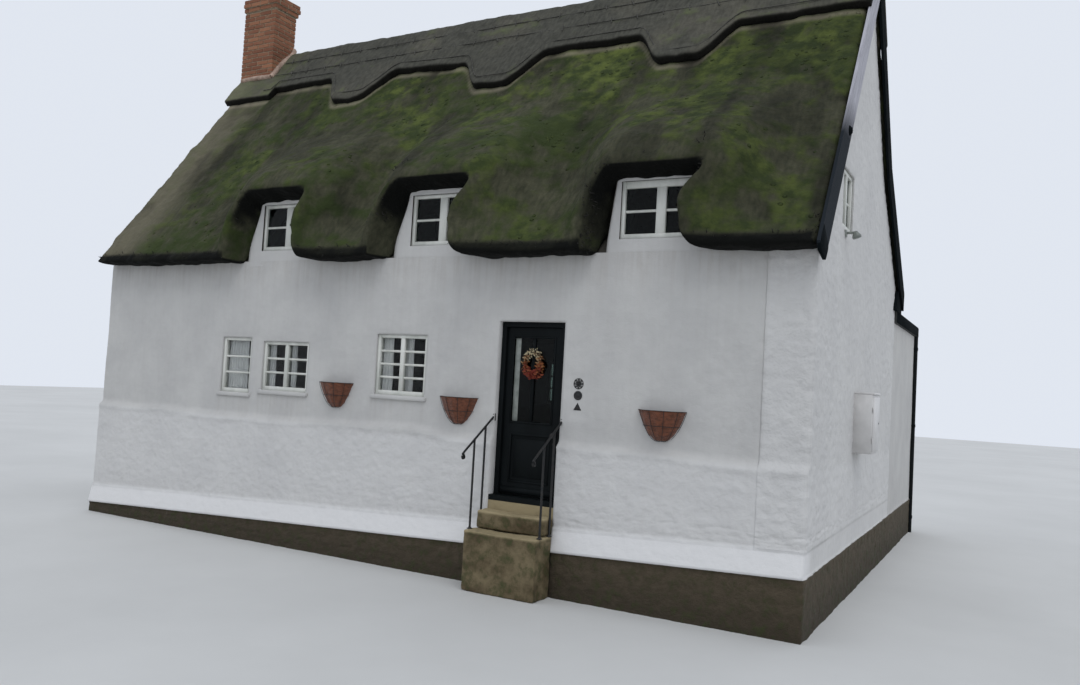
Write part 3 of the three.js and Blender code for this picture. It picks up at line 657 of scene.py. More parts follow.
# Brushed gloss paint on softwood, dulled by weather: white on the windows, black on the door and pipe
WHITE_PAINT = Mottled(
    "white_gloss_on_softwood", "#D9D9D2", 0.38, second="#C0C2BA", patch=0.22, grain=0.012, depth=0.0005,
    stretch=(1.0, 1.0, 3.0))
BLACK_PAINT = Mottled(
    "black_paint_on_softwood", "#0F1213", 0.45, second="#15191A", patch=0.3, grain=0.014, depth=0.0005,
    stretch=(1.0, 1.0, 4.0), specular=0.07)
# Bare softwood of the front verge, bleached silver grey and cracked along its grain
VERGE_WOOD = VergeTimber("weathered_verge_board", "#B2B1B8", 0.9)
# Drawn glass, a little wavy: clear in front of the curtains, elsewhere tinted dark green-grey as painted
# shade for the unlit rooms behind
GLASS = Pane("drawn_glass", "#F4F6F5", 0.03, ior=1.2)
GLASS_IN_PAINTED_SHADE = Pane("glass_tinted_for_painted_shade", "#8E9C96", 0.04, ior=1.2)
# Tarred boards at the rear verge and eaves, dead black, and plaster inside, painted dark as painted shade for
# the dim rooms
TARRED = Mottled(
    "tarred_softwood", "#0F1315", 0.95, second="#171B1D", patch=0.3, grain=0.014, depth=0.001, specular=0.02)
PLASTER_IN_PAINTED_SHADE = Mottled(
    "plaster_inside_darkened_for_painted_shade", "#4A463F", 0.95, second="#3A3731", patch=0.6, grain=0.006, depth=0.001)
# Frosted margin of the door's glass, pale and soft, and painted wrought iron, uneven with a dull shine
FROSTED = Mottled(
    "frosted_glass_margin", "#8E928C", 0.35, second="#6C716B", patch=0.12, grain=0.01, depth=0.0008)
IRON = Mottled(
    "painted_wrought_iron", "#1A1D20", 0.5, second="#2A2826", patch=0.05, grain=0.004, depth=0.0008,
    metallic=0.3)
# Coconut fibre of the liners, fuzzy and warm brown, and the dark crumbs of compost in them
COIR = Mottled(
    "coir_liner", "#7C4830", 1.0, second="#573322", patch=0.05, grain=0.006, depth=0.006,
    stretch=(1.0, 1.0, 0.5), sheen=0.2)
COMPOST = Mottled("potting_compost", "#241A12", 1.0, second="#3A2C1E", patch=0.02, grain=0.008, depth=0.008)
# Off-white glass-fibre plastic of the meter cabinet, moulded, with an even, faint shine
PLASTIC = Mottled(
    "off_white_moulded_plastic", "#D2D0CE", 0.45, second="#C0BEBC", patch=0.3, grain=0.003, depth=0.0003)
# Sawn pine with dark gaps on the floors, gritty mineral felt on the extension, thin matt cotton inside
BOARDS = SawnTimber("pine_floor_boards", "#6A5138", 0.75)
FELT = Mottled("mineral_roof_felt", "#2B2D2E", 0.95, second="#3A3B39", patch=0.5, grain=0.004, depth=0.0015)
CURTAIN = Mottled(
    "grey_cotton_curtain", "#F0F0EE", 0.95, second="#DCDCDC", patch=0.3, grain=0.003, depth=0.001, sheen=0.3)
# Matt pale floor of the studio
FLOOR = Mottled("studio_floor", "#C9C9C7", 0.9, second="#C2C2C0", patch=4.0, grain=0.05, depth=0.0005)
# Dried leaves and berries: red at the foot, ochre at the side, cream at the top; and the twigs that hold them
WREATH = FiredBrick("dried_leaves", "#8C5A2C", 0.85, dark="#8A3A2C", pale="#D0C6A4", lichen="#4A3420")
TWIG = Mottled("bound_twigs", "#3A2A1C", 0.95, second="#22180F", patch=0.02, grain=0.004, depth=0.002)
# Split hazel of the rods, dry and grey, and the cut ends of straw along the eaves, kept near black as painted
# shade to match the shaded lip
ROD = Mottled("split_hazel", "#4A4842", 0.9, second="#33322D", patch=0.06, grain=0.004, depth=0.0008)
STUBBLE = Mottled("straw_stubble", "#201F1A", 1.0, second="#171612", patch=0.12, grain=0.004, depth=0.001)


# Geometry node trees
def new_tree(name: str, inputs: dict) -> tuple[Tree, Sequence[bpy.types.NodeSocket]]:
    """Starts a geometry node tree with named inputs.

    Args:
        name: the tree's name.
        inputs: name of each input after the geometry to its default number or, without one, to its kind. An
            input for the material comes last.

    Returns:
        The tree, and the sockets that give its inputs.
    """
    tree = bpy.data.node_groups.new(name, "GeometryNodeTree")
    for way in ("INPUT", "OUTPUT"):
        tree.interface.new_socket("Geometry", in_out=way, socket_type="NodeSocketGeometry")
    for key, value in (inputs | {"Material": "Material"}).items():
        kind = {float: "Float", int: "Int"}.get(type(value), value)
        made = tree.interface.new_socket(key, in_out="INPUT", socket_type=f"NodeSocket{kind}")
        if kind != value:
            made.default_value = value
    return tree, add_node(tree, "NodeGroupInput").outputs


def finish_tree(tree: Tree, given: Sequence[bpy.types.NodeSocket], made: Node) -> Tree:
    """Ends a tree in real geometry with its material.

    Args:
        tree: the tree.
        given: the sockets that give its inputs.
        made: its last node so far.

    Returns:
        The same tree.
    """
    real = add_node(tree, "GeometryNodeRealizeInstances", {0: made})
    dressed = add_node(tree, "GeometryNodeSetMaterial", {"Geometry": real, "Material": given["Material"]})
    add_node(tree, "NodeGroupOutput", {0: dressed})
    return tree


def tube_tree() -> Tree:
    """Tree that runs a round bar along each path of edges."""
    tree, given = new_tree("round_bar_along_path", {"Radius": 0.01, "Sides": 12})
    line = add_node(tree, "GeometryNodeMeshToCurve", {0: given["Geometry"]})
    ring = add_node(tree, "GeometryNodeCurvePrimitiveCircle", {
        "Resolution": given["Sides"], "Radius": given["Radius"]})
    bar = add_node(tree, "GeometryNodeCurveToMesh", {"Curve": line, "Profile Curve": ring, "Fill Caps": True})
    return finish_tree(tree, given, add_node(tree, "GeometryNodeSetShadeSmooth", {0: bar}))


def copies_tree() -> Tree:
    """Tree that puts one piece on each point, turned and sized by the points' attributes."""
    tree, given = new_tree("copies_on_points", {"Piece": "Object", "Size": 1.0})
    piece = add_node(tree, "GeometryNodeObjectInfo", {"Object": given["Piece"]})
    turn = add_node(tree, "GeometryNodeInputNamedAttribute", {"data_type": "FLOAT_VECTOR", "Name": "turn"})
    size = add_node(tree, "GeometryNodeInputNamedAttribute", {"data_type": "FLOAT_VECTOR", "Name": "size"})
    scaled = add_node(tree, "VectorMath", {"operation": "SCALE", 0: size, "Scale": given["Size"]})
    rotation = add_node(tree, "FunctionNodeEulerToRotation", {0: turn})
    return finish_tree(tree, given, add_node(tree, "GeometryNodeInstanceOnPoints", {
        "Points": given["Geometry"], "Instance": piece.outputs["Geometry"], "Rotation": rotation,
        "Scale": scaled}))


def scatter_tree() -> Tree:
    """Tree that strews small pieces over a surface, along its normals, thick where an attribute says."""
    tree, given = new_tree("strewn_on_surface", {
        "Piece": "Object", "Density": 10.0, "Smallest": 0.5, "Largest": 1.0, "Seed": 1})
    amount = add_node(tree, "GeometryNodeInputNamedAttribute", {"data_type": "FLOAT", "Name": "amount"})
    thick = add_node(tree, "Math", {"operation": "MULTIPLY", 0: amount, 1: given["Density"]})
    points = add_node(tree, "GeometryNodeDistributePointsOnFaces", {
        "Mesh": given["Geometry"], "Density": thick, "Seed": given["Seed"]})
    piece = add_node(tree, "GeometryNodeObjectInfo", {"Object": given["Piece"]})
    spin = add_node(tree, "FunctionNodeRandomValue", {
        "data_type": "FLOAT_VECTOR", 1: (0.0, 0.0, 6.283), "Seed": given["Seed"]})
    own = add_node(tree, "FunctionNodeEulerToRotation", {0: spin})
    about = add_node(tree, "FunctionNodeRotateRotation", {
        "rotation_space": "LOCAL", 0: points.outputs["Rotation"], 1: own})
    size = add_node(tree, "FunctionNodeRandomValue", {
        "data_type": "FLOAT", 2: given["Smallest"], 3: given["Largest"], "Seed": given["Seed"]})
    return finish_tree(tree, given, add_node(tree, "GeometryNodeInstanceOnPoints", {
        "Points": points, "Instance": piece.outputs["Geometry"], "Rotation": about,
        "Scale": size.outputs[1]}))


BAR = tube_tree()
COPIES = copies_tree()
STREWN = scatter_tree()


# Shared building methods
def new_mesh(points: Sequence[Point], edges: Sequence = (), faces: Sequence = ()) -> Mesh:
    """Mesh of vertices with its edges or faces.

    Args:
        points: places of the vertices.
        edges, faces: the vertex numbers of each.

    Returns:
        The mesh.
    """
    mesh = bpy.data.meshes.new("part")
    mesh.from_pydata(points, edges, faces)
    return mesh


def bars(paths: Sequence[Sequence[Point]], radius: float, sides: int, finish: Finish) -> Mesh:
    """Round bars along paths of points.

    Args:
        paths: points of each path.
        radius: radius of a bar.
        sides: sides round a bar.
        finish: finish of the bars.

    Returns:
        The mesh of all bars.
    """
    points = [point for path in paths for point in path]
    ends = np.cumsum([len(path) for path in paths])
    edges = [(i, i + 1) for i in range(len(points) - 1) if i + 1 not in ends]
    return with_modifier(new_mesh(points, edges), "NODES", {
        "node_group": BAR, "Radius": radius, "Sides": sides, "Material": finish.material()})


def helper(name: str, mesh: Mesh) -> Solid:
    """Object that is only copied, never shown."""
    return bpy.data.objects.new(name, mesh)


def copied(piece: Solid, spots: Sequence[tuple], scale: float, finish: Finish) -> Mesh:
    """One piece copied to many spots.

    Args:
        piece: helper that is copied, and removed afterwards.
        spots: place, Euler angles, size and tint of each copy.
        scale: factor on all sizes.
        finish: finish of the copies.

    Returns:
        The mesh of all copies.
    """
    points, turns, sizes, tints = (np.array(values) for values in zip(*spots))
    base = new_mesh(points.tolist())
    for name, values in (("turn", turns), ("size", sizes)):
        layer = base.attributes.new(name, "FLOAT_VECTOR", "POINT")
        layer.data.foreach_set("vector", np.ascontiguousarray(values, np.float32).ravel())
    set_numbers(base, tint=tints)
    made = with_modifier(base, "NODES", {
        "node_group": COPIES, "Piece": piece, "Size": scale, "Material": finish.material()})
    bpy.data.objects.remove(piece)
    return made


def curved(points: Sequence[Point], steps: int = 8) -> list[Point]:
    """Smooth path through some points.

    Args:
        points: the points.
        steps: stops from each point to the next.

    Returns:
        The stops.
    """
    given = [np.array(p, float) for p in points]
    given = [2 * given[0] - given[1], *given, 2 * given[-1] - given[-2]]
    path = []
    for a, b, c, d in zip(given, given[1:], given[2:], given[3:]):
        for k in range(steps):
            t = k / steps
            bend = (2 * a - 5 * b + 4 * c - d) * t * t + (3 * b - a - 3 * c + d) * t ** 3
            path.append(tuple(0.5 * (2 * b + (c - a) * t + bend)))
    path.append(tuple(given[-2]))
    return path


@dataclass
class Joiner:
    """Collects bevelled blocks and turned shapes, and makes them one mesh."""

    bevel: float = 0.003
    place: Matrix = field(default_factory=Matrix)
    parts: list[Mesh] = field(default_factory=list)

    def block(self, low: Point, high: Point, slot: int = 0, bevel: Optional[float] = None) -> None:
        """Adds a block with softened edges from its lowest to its highest corner.

        Args:
            low, high: the corners.
            slot: number of its material.
            bevel: width of its edge bevel, if not the usual one.
        """
        middle = (Vector(low) + Vector(high)) / 2
        size = Vector(high) - Vector(low)
        with self._part(slot) as bm:
            bmesh.ops.create_cube(bm, size=1.0)
            for vert in bm.verts:
                vert.co = Vector(a * b for a, b in zip(vert.co, size)) + middle
            self._soften(bm, min(self.bevel if bevel is None else bevel, 0.3 * min(size)))

    def turned(self, profile: Sequence[Pair], middle: Point, axis: Point = UP, slot: int = 0,
               sides: int = 24) -> None:
        """Adds a round shape turned about an axis.

        Args:
            profile: radius and height pairs that start and end on the axis.
            middle: where height 0 lies.
            axis: direction of the axis.
            slot: number of its material.
            sides: number of sides.
        """
        turn = Vector(UP).rotation_difference(Vector(axis)).to_matrix().to_4x4()
        angles = [2 * math.pi * k / sides for k in range(sides)]
        with self._part(slot) as bm:
            rings = []
            for radius, height in profile:
                spots = [(radius * math.cos(a), radius * math.sin(a), height) for a in angles]
                rings.append([bm.verts.new(spot) for spot in (spots if radius else spots[:1])])
            for lower, upper in zip(rings, rings[1:]):
                for k in range(sides):
                    corners = [lower[k % len(lower)], lower[(k + 1) % len(lower)],
                               upper[(k + 1) % len(upper)], upper[k % len(upper)]]
                    unique = list(dict.fromkeys(corners))
                    if len(unique) > 2:
                        bm.faces.new(unique)
            bmesh.ops.recalc_face_normals(bm, faces=bm.faces)
            bmesh.ops.transform(bm, matrix=Matrix.Translation(Vector(middle)) @ turn, verts=bm.verts)

    def prism(self, outline: Sequence[Pair], y0: float, y1: float) -> None:
        """Adds a flat outline with a thickness.

        Args:
            outline: its (x, z) corners.
            y0, y1: where its two faces lie.
        """
        with self._part(0) as bm:
            near = [bm.verts.new((x, y0, z)) for x, z in outline]
            far = [bm.verts.new((x, y1, z)) for x, z in outline]
            bm.faces.new(near)
            bm.faces.new(far[::-1])
            for k in range(len(outline)):
                after = (k + 1) % len(outline)
                bm.faces.new([near[k], far[k], far[after], near[after]])
            bmesh.ops.recalc_face_normals(bm, faces=bm.faces)
            self._soften(bm, self.bevel)

    def add_mesh(self, mesh: Mesh) -> None:
        """Adds a finished mesh in the first material."""
        with self._part(0) as bm:
            bm.from_mesh(mesh)

    @staticmethod
    def _soften(bm: bmesh.types.BMesh, width: float) -> None:
        """Bevels all edges of a shape."""
        if width > 0:
            bmesh.ops.bevel(bm, geom=bm.edges[:], offset=width, segments=1, affect="EDGES")

    @contextmanager
    def _part(self, slot: int) -> Iterator[bmesh.types.BMesh]:
        """Opens a new part, then moves it to its place and stores it."""
        self.parts.append(bpy.data.meshes.new("part"))
        with edited(self.parts[-1]) as bm:
            yield bm
            bmesh.ops.transform(bm, matrix=self.place, verts=bm.verts)
            for face in bm.faces:
                face.material_index = slot

    def mesh(self) -> Mesh:
        """Joins everything that was added into one mesh."""
        whole = bpy.data.meshes.new("part")
        with edited(whole) as bm:
            for part in self.parts:
                bm.from_mesh(part)
        for part in self.parts:
            bpy.data.meshes.remove(part)
        self.parts = []
        return whole


class Sense(Enum):
    """Which way a face of the house looks, as the turn from the front."""

    FRONT = 0.0
    GABLE = math.pi / 2
    REAR = math.pi


def facing(sense: Sense, left: float, face: float, bottom: float) -> Matrix:
    """Placement of a thing drawn in (across, inwards, up) on one face of the house.

    Args:
        sense: the face that it is on.
        left: where it starts, seen from outside: X on the front and the rear, Y on the gable.
        face: position of the wall face.
        bottom: height of its foot.

    Returns:
        The matrix from drawing to house.
    """
    spot = (face, left, bottom) if sense is Sense.GABLE else (left, face, bottom)
    return Matrix.Translation(spot) @ Matrix.Rotation(sense.value, 4, "Z")


@dataclass
class Assembly:
    """What every sub-assembly shares: it makes pieces and puts them on a body."""

    @staticmethod
    def shape(name: str, mesh: Mesh, finishes: Sequence[Finish], smooth: bool = True) -> Solid:
        """Makes an object at the origin from a mesh that holds its own place.

        Args:
            name: name of the piece.
            mesh: finished mesh.
            finishes: its finishes in slot order.
            smooth: whether its faces are shaded smooth.

        Returns:
            The new object.
        """
        piece = bpy.data.objects.new(name, mesh)
        bpy.context.scene.collection.objects.link(piece)
        mesh.name = name
        if mesh.materials:
            mesh.materials.clear()
        for finish in finishes:
            mesh.materials.append(finish.material())
        mesh.polygons.foreach_set("use_smooth", np.full(len(mesh.polygons), smooth))
        mesh.update()
        return piece

    @staticmethod
    def settle(piece: Solid, slot: str, replaces: Sequence[str] = (), body: str = HOUSE) -> None:
        """Puts a finished piece on its body.

        Args:
            piece: the object.
            slot: the record's material slot of the piece; not used.
            replaces: solids that it stands for.
            body: body that it rides on.
        """
        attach(piece, body)
        if replaces:
            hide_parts(*replaces)
        LOG.info("%s: %d faces on %s", piece.name, len(piece.data.polygons), body)

    def make(self, name: str, mesh: Mesh, finishes: Sequence[Finish], slot: str, replaces: Sequence[str] = (),
             body: str = HOUSE, smooth: bool = True) -> None:
        """Makes a piece and puts it on its body, with the inputs of shape and settle."""
        self.settle(self.shape(name, mesh, finishes, smooth), slot, replaces, body)

    @staticmethod
    def paint_solids(finish: Finish, *nodes: str) -> None:
        """Gives solids that keep their shape a finish.

        Args:
            finish: the finish.
            nodes: names of the solids.
        """
        for node in nodes:
            solid = frame["nodes"][node].data
            solid.materials.clear()
            solid.materials.append(finish.material())

    def build(self) -> None:
        """Makes the pieces."""
        raise NotImplementedError


# Shape of the house that more than one sub-assembly needs
@dataclass(frozen=True)
class RoofSide:
    """One roof slope, whose depth is 0 at its wall face and grows into the house."""

    face: float
    sign: int
    underside: tuple[Pair, ...]
    dormers: tuple[float, ...]

    def inner_height(self, depth: Array) -> Array:
        """Height of the underside at a depth.

        Args:
            depth: distances behind the wall face.

        Returns:
            The heights.
        """
        depths, heights = zip(*self.underside)
        fall = (heights[1] - heights[0]) / (depths[1] - depths[0])
        before = heights[0] + (depth - depths[0]) * fall
        return np.where(depth < depths[0], before, np.interp(depth, depths, heights))


LEFT_END = -7.55
PARTY_END = -6.90
RIGHT_END = 3.12
HOUSE_DEPTH = 5.75
RIDGE_Y = 2.69
RIDGE_OUTER = 7.91
VERGE = 0.065
FRONT_ROOF = RoofSide(0.0, 1, ((0.0, 3.755), (RIDGE_Y, 7.411)), (-3.912, -1.355, 1.475))
REAR_ROOF = RoofSide(
    HOUSE_DEPTH, -1, ((0.0, 4.045), (1.667, 5.395), (HOUSE_DEPTH - RIDGE_Y, 7.411)), (-3.912, 1.3))
# Heights and half widths of the white apron round an eyebrow window, and the window's own opening
APRON = ((3.50, 0.620), (3.93, 0.600), (4.56, 0.515), (4.63, 0.500))
DORMER_HALF = 0.46
DORMER_SILL = 3.93
DORMER_HEAD = 4.57
# Left edge, right edge and head of the doorway
DOORWAY = (-0.44, 0.42, 3.02)
# Height of the white band at the foot, and of the ledge where the thicker lower wall ends
BAND_HEIGHT = 0.26
LEDGE = (1.60, 1.69)
# Height of the band's foot at the right end, and the rise of the ground towards it
BAND_RIGHT = 0.600
GROUND_RISE = 0.0427
# Height where rows stop following the rise of the ground and run level
LEVEL_FROM = 1.0


def base_line(x: Array) -> Array:
    """Height of the foot of the white band along the front, which follows the rise of the ground."""
    return BAND_RIGHT + (np.minimum(x, RIGHT_END) - RIGHT_END) * GROUND_RISE


def fill_stops(stops: Sequence[float], spacing: float) -> Array:
    """Adds stops between given ones, so that none lie further apart than the spacing.

    Args:
        stops: places that stay.
        spacing: widest gap.

    Returns:
        All stops in order.
    """
    given = sorted(set(round(float(s), 5) for s in stops))
    filled = [given[0]]
    for a, b in zip(given, given[1:]):
        steps = max(1, math.ceil((b - a) / spacing))
        filled += [a + (b - a) * k / steps for k in range(1, steps + 1)]
    return np.array(filled)


@dataclass(frozen=True)
class Hole:
    """An opening in a coat: from start to end along the wall, from bottom to top, with its reveal's depth."""

    start: float
    end: float
    bottom: float
    top: float
    depth: float = 0.014

    def moved(self, by: float) -> "Hole":
        """The same opening further along the wall."""
        return Hole(self.start + by, self.end + by, self.bottom, self.top, self.depth)

    def shrunk(self, by: float = 0.003) -> "Hole":
        """The same opening a little smaller all round, so that the coat covers its edge."""
        bottom = self.bottom + by if self.bottom > 0 else self.bottom
        return Hole(self.start + by, self.end - by, bottom, self.top - by, self.depth)

    def beside(self, s: Array, z: Array) -> Array:
        """Distance outside the opening, along the wall or up it."""
        return np.maximum(np.maximum(self.start - s, s - self.end), np.maximum(self.bottom - z, z - self.top))


@dataclass
class Sheet:
    """A grid of points with one face between each four, all or where asked, and numbers on its points."""

    points: Array
    keep: Optional[Array] = None
    slots: Optional[Array] = None
    numbers: dict[str, Array] = field(default_factory=dict)
    rings: list[tuple[Array, Array]] = field(default_factory=list)

    def mesh(self) -> Mesh:
        """Makes the mesh, with its openings' reveals, and drops what has no area."""
        rows, cols = self.points.shape[:2]
        index = np.arange(rows * cols).reshape(rows, cols)
        quads = np.stack([index[:-1, :-1], index[:-1, 1:], index[1:, 1:], index[1:, :-1]], axis=-1)
        keep = np.ones(quads.shape[:2], bool) if self.keep is None else self.keep
        faces = quads[keep].tolist()
        slots = [0] * len(faces) if self.slots is None else self.slots[keep].tolist()
        points = [self.points.reshape(-1, 3)]
        start = rows * cols
        for ring, inner in self.rings:
            points.append(inner)
            for k in range(len(ring) - 1):
                faces.append([int(ring[k]), int(ring[k + 1]), start + k + 1, start + k])
                slots.append(0)
            start += len(inner)
        mesh = new_mesh(np.concatenate(points).tolist(), [], faces)
        mesh.polygons.foreach_set("material_index", np.array(slots, np.int32))
        for key, values in self.numbers.items():
            set_numbers(mesh, **{key: np.append(values, np.zeros(start - rows * cols))})
        with edited(mesh) as bm:
            bmesh.ops.remove_doubles(bm, verts=bm.verts, dist=0.00002)
            bmesh.ops.dissolve_degenerate(bm, dist=0.0001, edges=bm.edges)
            bmesh.ops.delete(bm, geom=[v for v in bm.verts if not v.link_faces], context="VERTS")
        return mesh


@dataclass
class Coat(Assembly):
    """A limewashed coat with real relief over a wall's outer faces, walked with the outside on the right.

    Its functions take the distance along the wall, and most of them the height too. The fresh band goes from
    band_from to band_to, the lower wall is painted lighter before lower_to, partly as painted light for the
    shade that the eaves cast on the upper wall, and the corner pier starts at pier_from.
    """

    name: str
    corners: Sequence[Pair]
    holes: Sequence[Hole]
    top: Callable[[Array], Array]
    rough: Callable[[Array, Array], Array]
    profile: Callable[[Array, Array], Array]
    foot: Callable[[Array], Array]
    stops: Sequence[float] = ()
    levels: Sequence[float] = ()
    spacing: float = 0.031
    band_from: float = 99.0
    band_to: float = -99.0
    thick: float = 0.004
    calm: Sequence[Hole] = ()
    lower_to: float = -99.0
    pier_from: float = 99.0
    seed: int = 11

    def build(self) -> None:
        """Makes the coat and puts it on the house."""
        runs = [math.dist(a, b) for a, b in zip(self.corners, self.corners[1:])]
        bends = np.concatenate([[0.0], np.cumsum(runs)])
        holes = [hole.shrunk() for hole in self.holes]
        ends = [edge for hole in holes for edge in (hole.start, hole.end)]
        heights = [edge for hole in holes for edge in (hole.bottom, hole.top)]
        along = fill_stops([*bends, *self.stops, *ends], self.spacing)
        highest = float(np.max(self.top(along)))
        marks = [LEVEL_FROM, highest, *self.levels, *heights]
        upper = fill_stops([m for m in marks if LEVEL_FROM <= m <= highest], self.spacing)
        foot = self.foot(along)
        rows, footing_rows = self._low_rows(foot)
        rows += [np.full_like(along, level) for level in upper]
        z = np.minimum(np.array(rows), self.top(along))
        s = np.broadcast_to(along, z.shape)
        face, out, proud = self._lay(s, z, bends)
        points = face + out * (proud + self.thick + self._relief(s, z, face, holes))[..., None]
        keep = (z[1:, :-1] - z[:-1, :-1] > 1e-6) | (z[1:, 1:] - z[:-1, 1:] > 1e-6)
        for hole in holes:
            inside = (z[:-1, :-1] > hole.bottom - 1e-4) & (z[1:, :-1] < hole.top + 1e-4)
            inside &= (s[:-1, :-1] > hole.start - 1e-4) & (s[:-1, 1:] < hole.end + 1e-4)
            keep &= ~inside
        slots = np.zeros(keep.shape, np.int32)
        slots[:footing_rows] = 1
        rings = [self._reveal(hole, s, z, face, out) for hole in holes]
        sheet = Sheet(points, keep, slots, self._wear(s, z, foot, holes), rings)
        self.make(self.name, sheet.mesh(), [LIMEWASH, FOOTING], slot="limewash")

    def _low_rows(self, foot: Array) -> tuple[list[Array], int]:
        """Rows that follow the foot line, and how many rows of faces are footing.

        Args:
            foot: height of the band's foot along the wall.

        Returns:
            Heights of the rows, and the number of footing rows.
        """
        edge = 0.002
        under = max(2, math.ceil(float(np.max(foot)) / self.spacing))
        rows = [(foot - edge) * k / under for k in range(under + 1)]
        rows.append(foot + edge)
        steps = math.ceil(BAND_HEIGHT / self.spacing)
        rows += [foot + edge + (BAND_HEIGHT - edge) * k / steps for k in range(1, steps + 1)]
        start = foot + BAND_HEIGHT + 0.02
        steps = max(2, math.ceil((LEVEL_FROM - float(np.min(start))) / self.spacing))
        rows += [start + (LEVEL_FROM - start) * k / steps for k in range(steps)]
        return rows, under

    def _lay(self, s: Array, z: Array, bends: Array) -> tuple[Array, Array, Array]:
        """Wall face, way out, and how far the wall's own profile stands proud, at each point.

        Args:
            s, z: places along and up the wall.
            bends: where along the wall it turns.

        Returns:
            The three values for each place.
        """
        corners = np.array(self.corners)
        ahead = corners[1:] - corners[:-1]
        ahead = ahead / np.linalg.norm(ahead, axis=1, keepdims=True)
        outward = np.stack([ahead[:, 1], -ahead[:, 0]], axis=1)
        run = np.clip(np.searchsorted(bends, s - 1e-6) - 1, 0, len(ahead) - 1)
        # the first wall's profile is taken up again within 0.3 m round its corner
        turn = 0.3
        part = s - bends[run]
        proud = np.where(run == 0, self.profile(s, z), 0.0)
        before = self.profile(np.full_like(s, bends[1] - 0.01), z)
        part = np.where((run == 1) & (part < turn), -before + (turn + before) * part / turn, part)
        face = np.zeros((*s.shape, 3))
        out = np.zeros((*s.shape, 3))
        face[..., :2] = corners[run] + ahead[run] * part[..., None]
        face[..., 2] = z
        out[..., :2] = outward[run]
        for k in range(1, len(ahead)):
            at_bend = np.abs(s - bends[k]) < 1e-6
            middle = outward[k - 1] + outward[k]
            out[at_bend, :2] = middle / np.linalg.norm(middle)
            if k == 1:
                face[at_bend, :2] += outward[0] * proud[at_bend][:, None]
                proud = np.where(at_bend, 0.0, proud)
        return face, out, proud

    def _relief(self, s: Array, z: Array, face: Array, holes: Sequence[Hole]) -> Array:
        """Height of the rubble and the brushed coat at each point.

        Args:
            s, z: places along and up the wall.
            face: the same places in the house.
            holes: openings, round which the coat is flatter.

        Returns:
            Heights in metres.
        """
        stones, tone = rubble(s.ravel(), z.ravel(), 0.24, 0.12, self.seed)
        small, _ = rubble(s.ravel(), z.ravel(), 0.11, 0.07, self.seed + 5)
        around = face.reshape(-1, 3)
        lumps = 0.5 + 0.5 * noise(around, (0.12, 0.12, 0.085), self.seed + 3, 3)
        stony = 0.85 * lumps + 0.5 * ease(stones) * (0.3 + 0.7 * tone) + 0.25 * small
        rise = self.rough(s, z).ravel() * stony
        rise = rise + 0.007 * (1 + noise(around, (0.9, 0.9, 0.7), self.seed + 9))
        rise = rise + 0.0025 * noise(around, (0.16, 0.16, 0.12), self.seed + 13, 2)
        rise = np.maximum(rise, 0.001).reshape(s.shape)
        for hole in holes:
            rise = rise * (0.25 + 0.75 * ease(hole.beside(s, z) / 0.09))
        for patch in self.calm:
            rise = rise * (0.05 + 0.95 * ease(patch.beside(s, z) / 0.1))
        return rise

    def _wear(self, s: Array, z: Array, foot: Array, holes: Sequence[Hole]) -> dict[str, Array]:
        """Where water runs and where painted shade falls under the eaves, where the fresh band lies, and
        where the lower wall is painted lighter.

        Args:
            s, z: places along and up the wall.
            foot: height of the band's foot.
            holes: openings, under which water runs.

        Returns:
            The numbers that the materials read.
        """
        # darker under the eaves, partly run marks and partly painted shade of the eaves; darker at the foot
        # from splashes, and under the windows from runs
        grime = 0.2 + 0.8 * ease((self.top(s) - z) / -0.55 + 1.0) + 0.3 * ease((foot + 0.7 - z) / 0.5)
        for hole in holes:
            under = (s > hole.start - 0.05) & (s < hole.end + 0.05) & (z < hole.bottom)
            grime = grime + np.where(under, 0.5 * ease(1 - (hole.bottom - z) / 0.6), 0.0)
        fresh = ease((foot + BAND_HEIGHT + 0.02 - z) / 0.03) * (z > foot)
        fresh = fresh * (s >= self.band_from) * ease((self.band_to - s) / 0.4 + 0.5)
        fresh = np.maximum(fresh, 0.3 * ease((s - self.pier_from) / 0.02))
        # painted light: the lower wall is lighter, partly for the shade that the eaves cast on the upper wall
        fresh = np.maximum(fresh, 0.42 * ease((LEDGE[0] + 0.06 - z) / 0.08) * (s < self.lower_to))
        soil = np.where(z < foot - 0.001, 0.45 + 0.35 * ease(1 - z / 0.5), 0.0)
        harsh = np.clip(self.rough(s, z) / 0.015, 0.12, 1.0)
        return {"grime": np.clip(grime, 0, 1), "fresh": fresh, "soil": soil, "harsh": harsh}

    @staticmethod
    def _reveal(hole: Hole, s: Array, z: Array, face: Array, out: Array) -> tuple[Array, Array]:
        """Ring of points round an opening and the points that it goes in to.

        Args:
            hole: the opening.
            s, z: places along and up the wall.
            face, out: the same places in the house, and the ways out of the wall.

        Returns:
            Numbers of the ring's points, and the points behind them.
        """
        cols = np.flatnonzero((s[0] > hole.start - 1e-4) & (s[0] < hole.end + 1e-4))
        level = z[:, cols[0]]
        rows = np.flatnonzero((level > hole.bottom - 1e-4) & (level < hole.top + 1e-4))
        ring = [(r, cols[-1]) for r in rows]
        ring += [(rows[-1], c) for c in cols[::-1][1:]]
        ring += [(r, cols[0]) for r in rows[::-1][1:]]
        if hole.bottom > 0:
            ring += [(rows[0], c) for c in cols[1:]]
        row, col = np.array(ring).T
        return row * s.shape[1] + col, face[row, col] - out[row, col] * hole.depth


